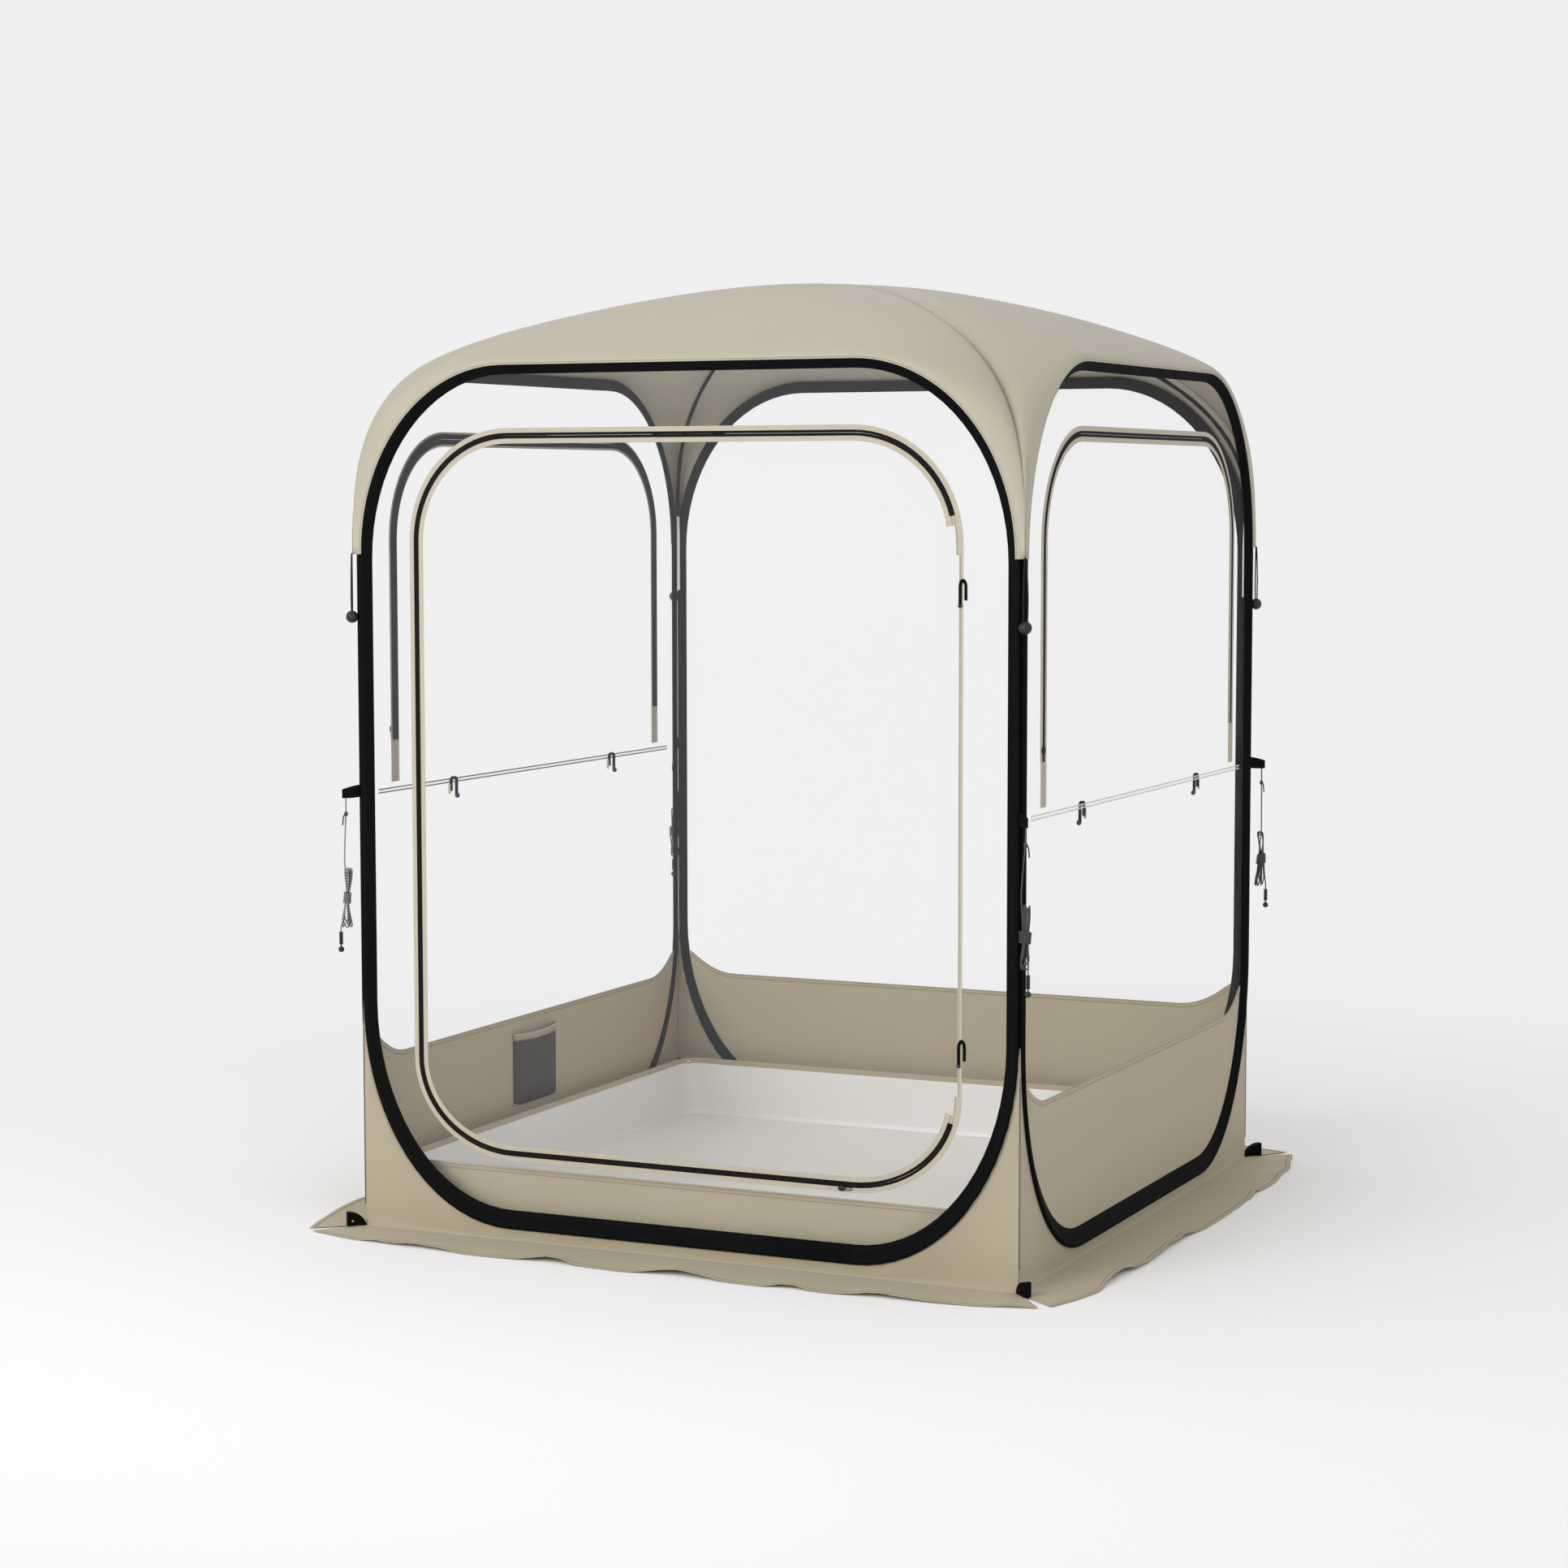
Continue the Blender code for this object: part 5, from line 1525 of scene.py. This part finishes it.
def tub_rings(half, levels, waves=False):
    """Rounded squares at given heights and insets, turned so that each row runs up."""
    rings = []
    for height, inset in levels:
        reach = half - inset
        bend = reach / 2
        if reach > 0.05:
            bend = max(0.0006, min(TUB_CORNER, reach * 0.9) - inset * 0.3)
        ring = []
        for quarter in range(4):
            run, out = face_axes(quarter)
            places = [run * ((2.0 * step / 16 - 1.0) * (reach - bend)) + out * reach
                      for step in range(16)]
            corner = run * (reach - bend) + out * (reach - bend)
            places += [corner + out * bend * lean + run * bend * rise
                       for lean, rise in arc(6, 1)[:-1]]
            for place in places:
                lift, spread = 0.0, 1.0
                if waves and height < 0.004:
                    lift = max(0.0, wave(place, 0.0022, 1.4)) * min(1.0, inset / 0.1) + 0.0008
                if height > 0.05:
                    spread = min(1.0 + wave((place.x, place.y, height), 0.0022, 2.2), 1.0006)
                ring.append(Vector((place.x * spread, place.y * spread, height + lift)))
        rings.append(ring)
    return list(zip(*rings))


def close_middle(shape):
    """The rings of the floor leave a small hole at its middle, which one face closes."""
    hole = [edge for edge in shape.edges
            if edge.is_boundary and edge.verts[0].co.xy.length < 0.02]
    bmesh.ops.holes_fill(shape, edges=hole, sides=0)


def tub_toggle(corner, word):
    """A grey button on a black strap that clips the tub to the hoop's corner."""
    height = TUB_TALL - 0.012
    start, end = 0.7165 * DIAGONAL - 0.020, (WALL_FACE - 0.001) * DIAGONAL - 0.004
    half, half_thick = 0.004, 0.0007
    ring = ((-half, -half_thick), (half, -half_thick), (half, half_thick), (-half, half_thick))
    rows, uvs = [], []
    for step in range(7):
        share = step / 6
        middle = height - 0.004 * math.sin(math.pi * share)
        rows.append([on_corner(corner, start + (end - start) * share, across, middle + rise)
                     for across, rise in ring])
        uvs += [(share * 0.05, across) for across in (0.0, 0.008, 0.009, 0.017)]
    strap = ring_piece("tub_strap_" + word, rows, uvs, "webbing", "floor")
    button = lump("tub_button", on_corner(corner, start + 0.006, 0.0, height + 0.002),
                  (0.006, 0.006, 0.004), "pole", "floor", power=0.7)
    joined("tub_toggle_" + word, [strap, button], "floor_tub")


class TENT_OT_floor(bpy.types.Operator):
    """Coated floor tub with its bound rim and corner straps"""
    bl_idname = "tent.floor"
    bl_label = "Floor"

    def execute(self, context):
        tall, node = TUB_TALL, "floor_tub"
        levels = [(0.0004, 0.004), (0.0015, 0.0012), (0.004, 0.0)]
        levels += [(0.004 + (tall - 0.004) * step / 8, 0.0) for step in range(1, 9)]
        grid("tub_outer", tub_rings(TUB_HALF, levels), "wall", "floor", node,
             TUB_THICK, closed=True)
        levels = [(tall * (8 - step) / 8, 0.0) for step in range(8)]
        levels += [(0.012, 0.001), (0.006, 0.0035), (0.0032, 0.009)]
        levels += [(0.0030, 0.03 + 0.684 * (step / 22)) for step in range(23)]
        liner = grid("tub_liner", tub_rings(TUB_HALF - 2 * TUB_THICK, levels, True), "floor",
                     "floor", node, thick=TUB_THICK, closed=True)
        reshape(liner, close_middle)
        levels = [(tall - 0.013, 0.0), (tall - 0.0005, -0.0004), (tall + 0.0006, 0.0010),
                  (tall - 0.0005, 0.0032), (tall - 0.013, 0.0028)]
        grid("tub_rim", tub_rings(TUB_HALF + 0.0008, levels), "wall_edge", "floor", node,
             closed=True)
        for corner, word in enumerate(CORNERS):
            tub_toggle(corner, word)
        return {"FINISHED"}


class TENT_OT_pocket(bpy.types.Operator):
    """Net pocket inside the left wall"""
    bl_idname = "tent.pocket"
    bl_label = "Pocket"

    def execute(self, context):
        face, node, steps = 3, "pocket", 20
        wide, tall, middle, foot, edge = 0.208, 0.175, 0.015, 0.156, 0.008
        deep, flat_size = 0.0125, (0.240, 0.185)
        lines = []
        for column in range(steps + 1):
            share = 2.0 * column / steps - 1.0
            line = []
            for row in range(steps + 1):
                up = row / steps
                puff = deep * (1.0 - abs(share) ** 3) * math.sin(QUARTER * min(1.0, up * 2.2))
                puff += wave((share * 2.0, up * 2.0, 1.0), 0.001) * (1.0 - abs(share))
                sag = 0.004 * (1.0 - share * share) * up
                line.append(on_face(face, middle + share * wide / 2, foot + tall * up - sag,
                                    FACE - 0.0020 - puff))
            lines.append(line)
        pocket = grid("pocket_net", lines, "net", node=node, thick=0.0006)
        shift = Vector((0.0012, 0.0, 0.0))
        grid("pocket_border", [[point + shift for point in line[-3:]] for line in lines],
             "wall_edge", node=node, thick=0.0010)
        left, right = middle - wide / 2, middle + wide / 2
        upright = even(foot, foot + tall, 10)
        for name, line, across, high in (
                ("pocket_side_0", [(left, height) for height in upright], -edge, -0.0026),
                ("pocket_side_1", [(right - edge, height) for height in upright], -edge, -0.0026),
                ("pocket_foot", [(along, foot) for along in even(left, right, 10)], edge,
                 -0.0028)):
            band(name, face, line, flat(0.0, across, -0.0013, high), "wall_edge", node=node)
        return {"FINISHED"}


class TENT_PT_panel(bpy.types.Panel):
    """Sizes, colours and the build steps"""
    bl_idname = "TENT_PT_panel"
    bl_label = "Bubble Tent"
    bl_space_type = "VIEW_3D"
    bl_region_type = "UI"
    bl_category = "Tent"

    def draw(self, context):
        scene = context.scene
        for group in (scene.tent_sizes, scene.tent_colours):
            for key in group.bl_rna.properties.keys():
                if key not in ("rna_type", "name"):
                    self.layout.prop(group, key)
        for step in STEPS:
            self.layout.operator(step.bl_idname)


STEPS = [TENT_OT_stage, TENT_OT_guys, TENT_OT_hoops, TENT_OT_films, TENT_OT_door,
         TENT_OT_windows, TENT_OT_sliders, TENT_OT_ground, TENT_OT_poles, TENT_OT_canopy,
         TENT_OT_floor, TENT_OT_pocket]
CLASSES = [TentSizes, TentColours, *STEPS, TENT_PT_panel]


def register():
    for item in CLASSES:
        bpy.utils.register_class(item)
    bpy.types.Scene.tent_sizes = PointerProperty(type=TentSizes)
    bpy.types.Scene.tent_colours = PointerProperty(type=TentColours)


def unregister():
    del bpy.types.Scene.tent_colours
    del bpy.types.Scene.tent_sizes
    for item in reversed(CLASSES):
        bpy.utils.unregister_class(item)


def main():
    register()
    for step in STEPS:
        group, name = step.bl_idname.split(".")
        getattr(getattr(bpy.ops, group), name)()
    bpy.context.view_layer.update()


if __name__ == "__main__":
    main()
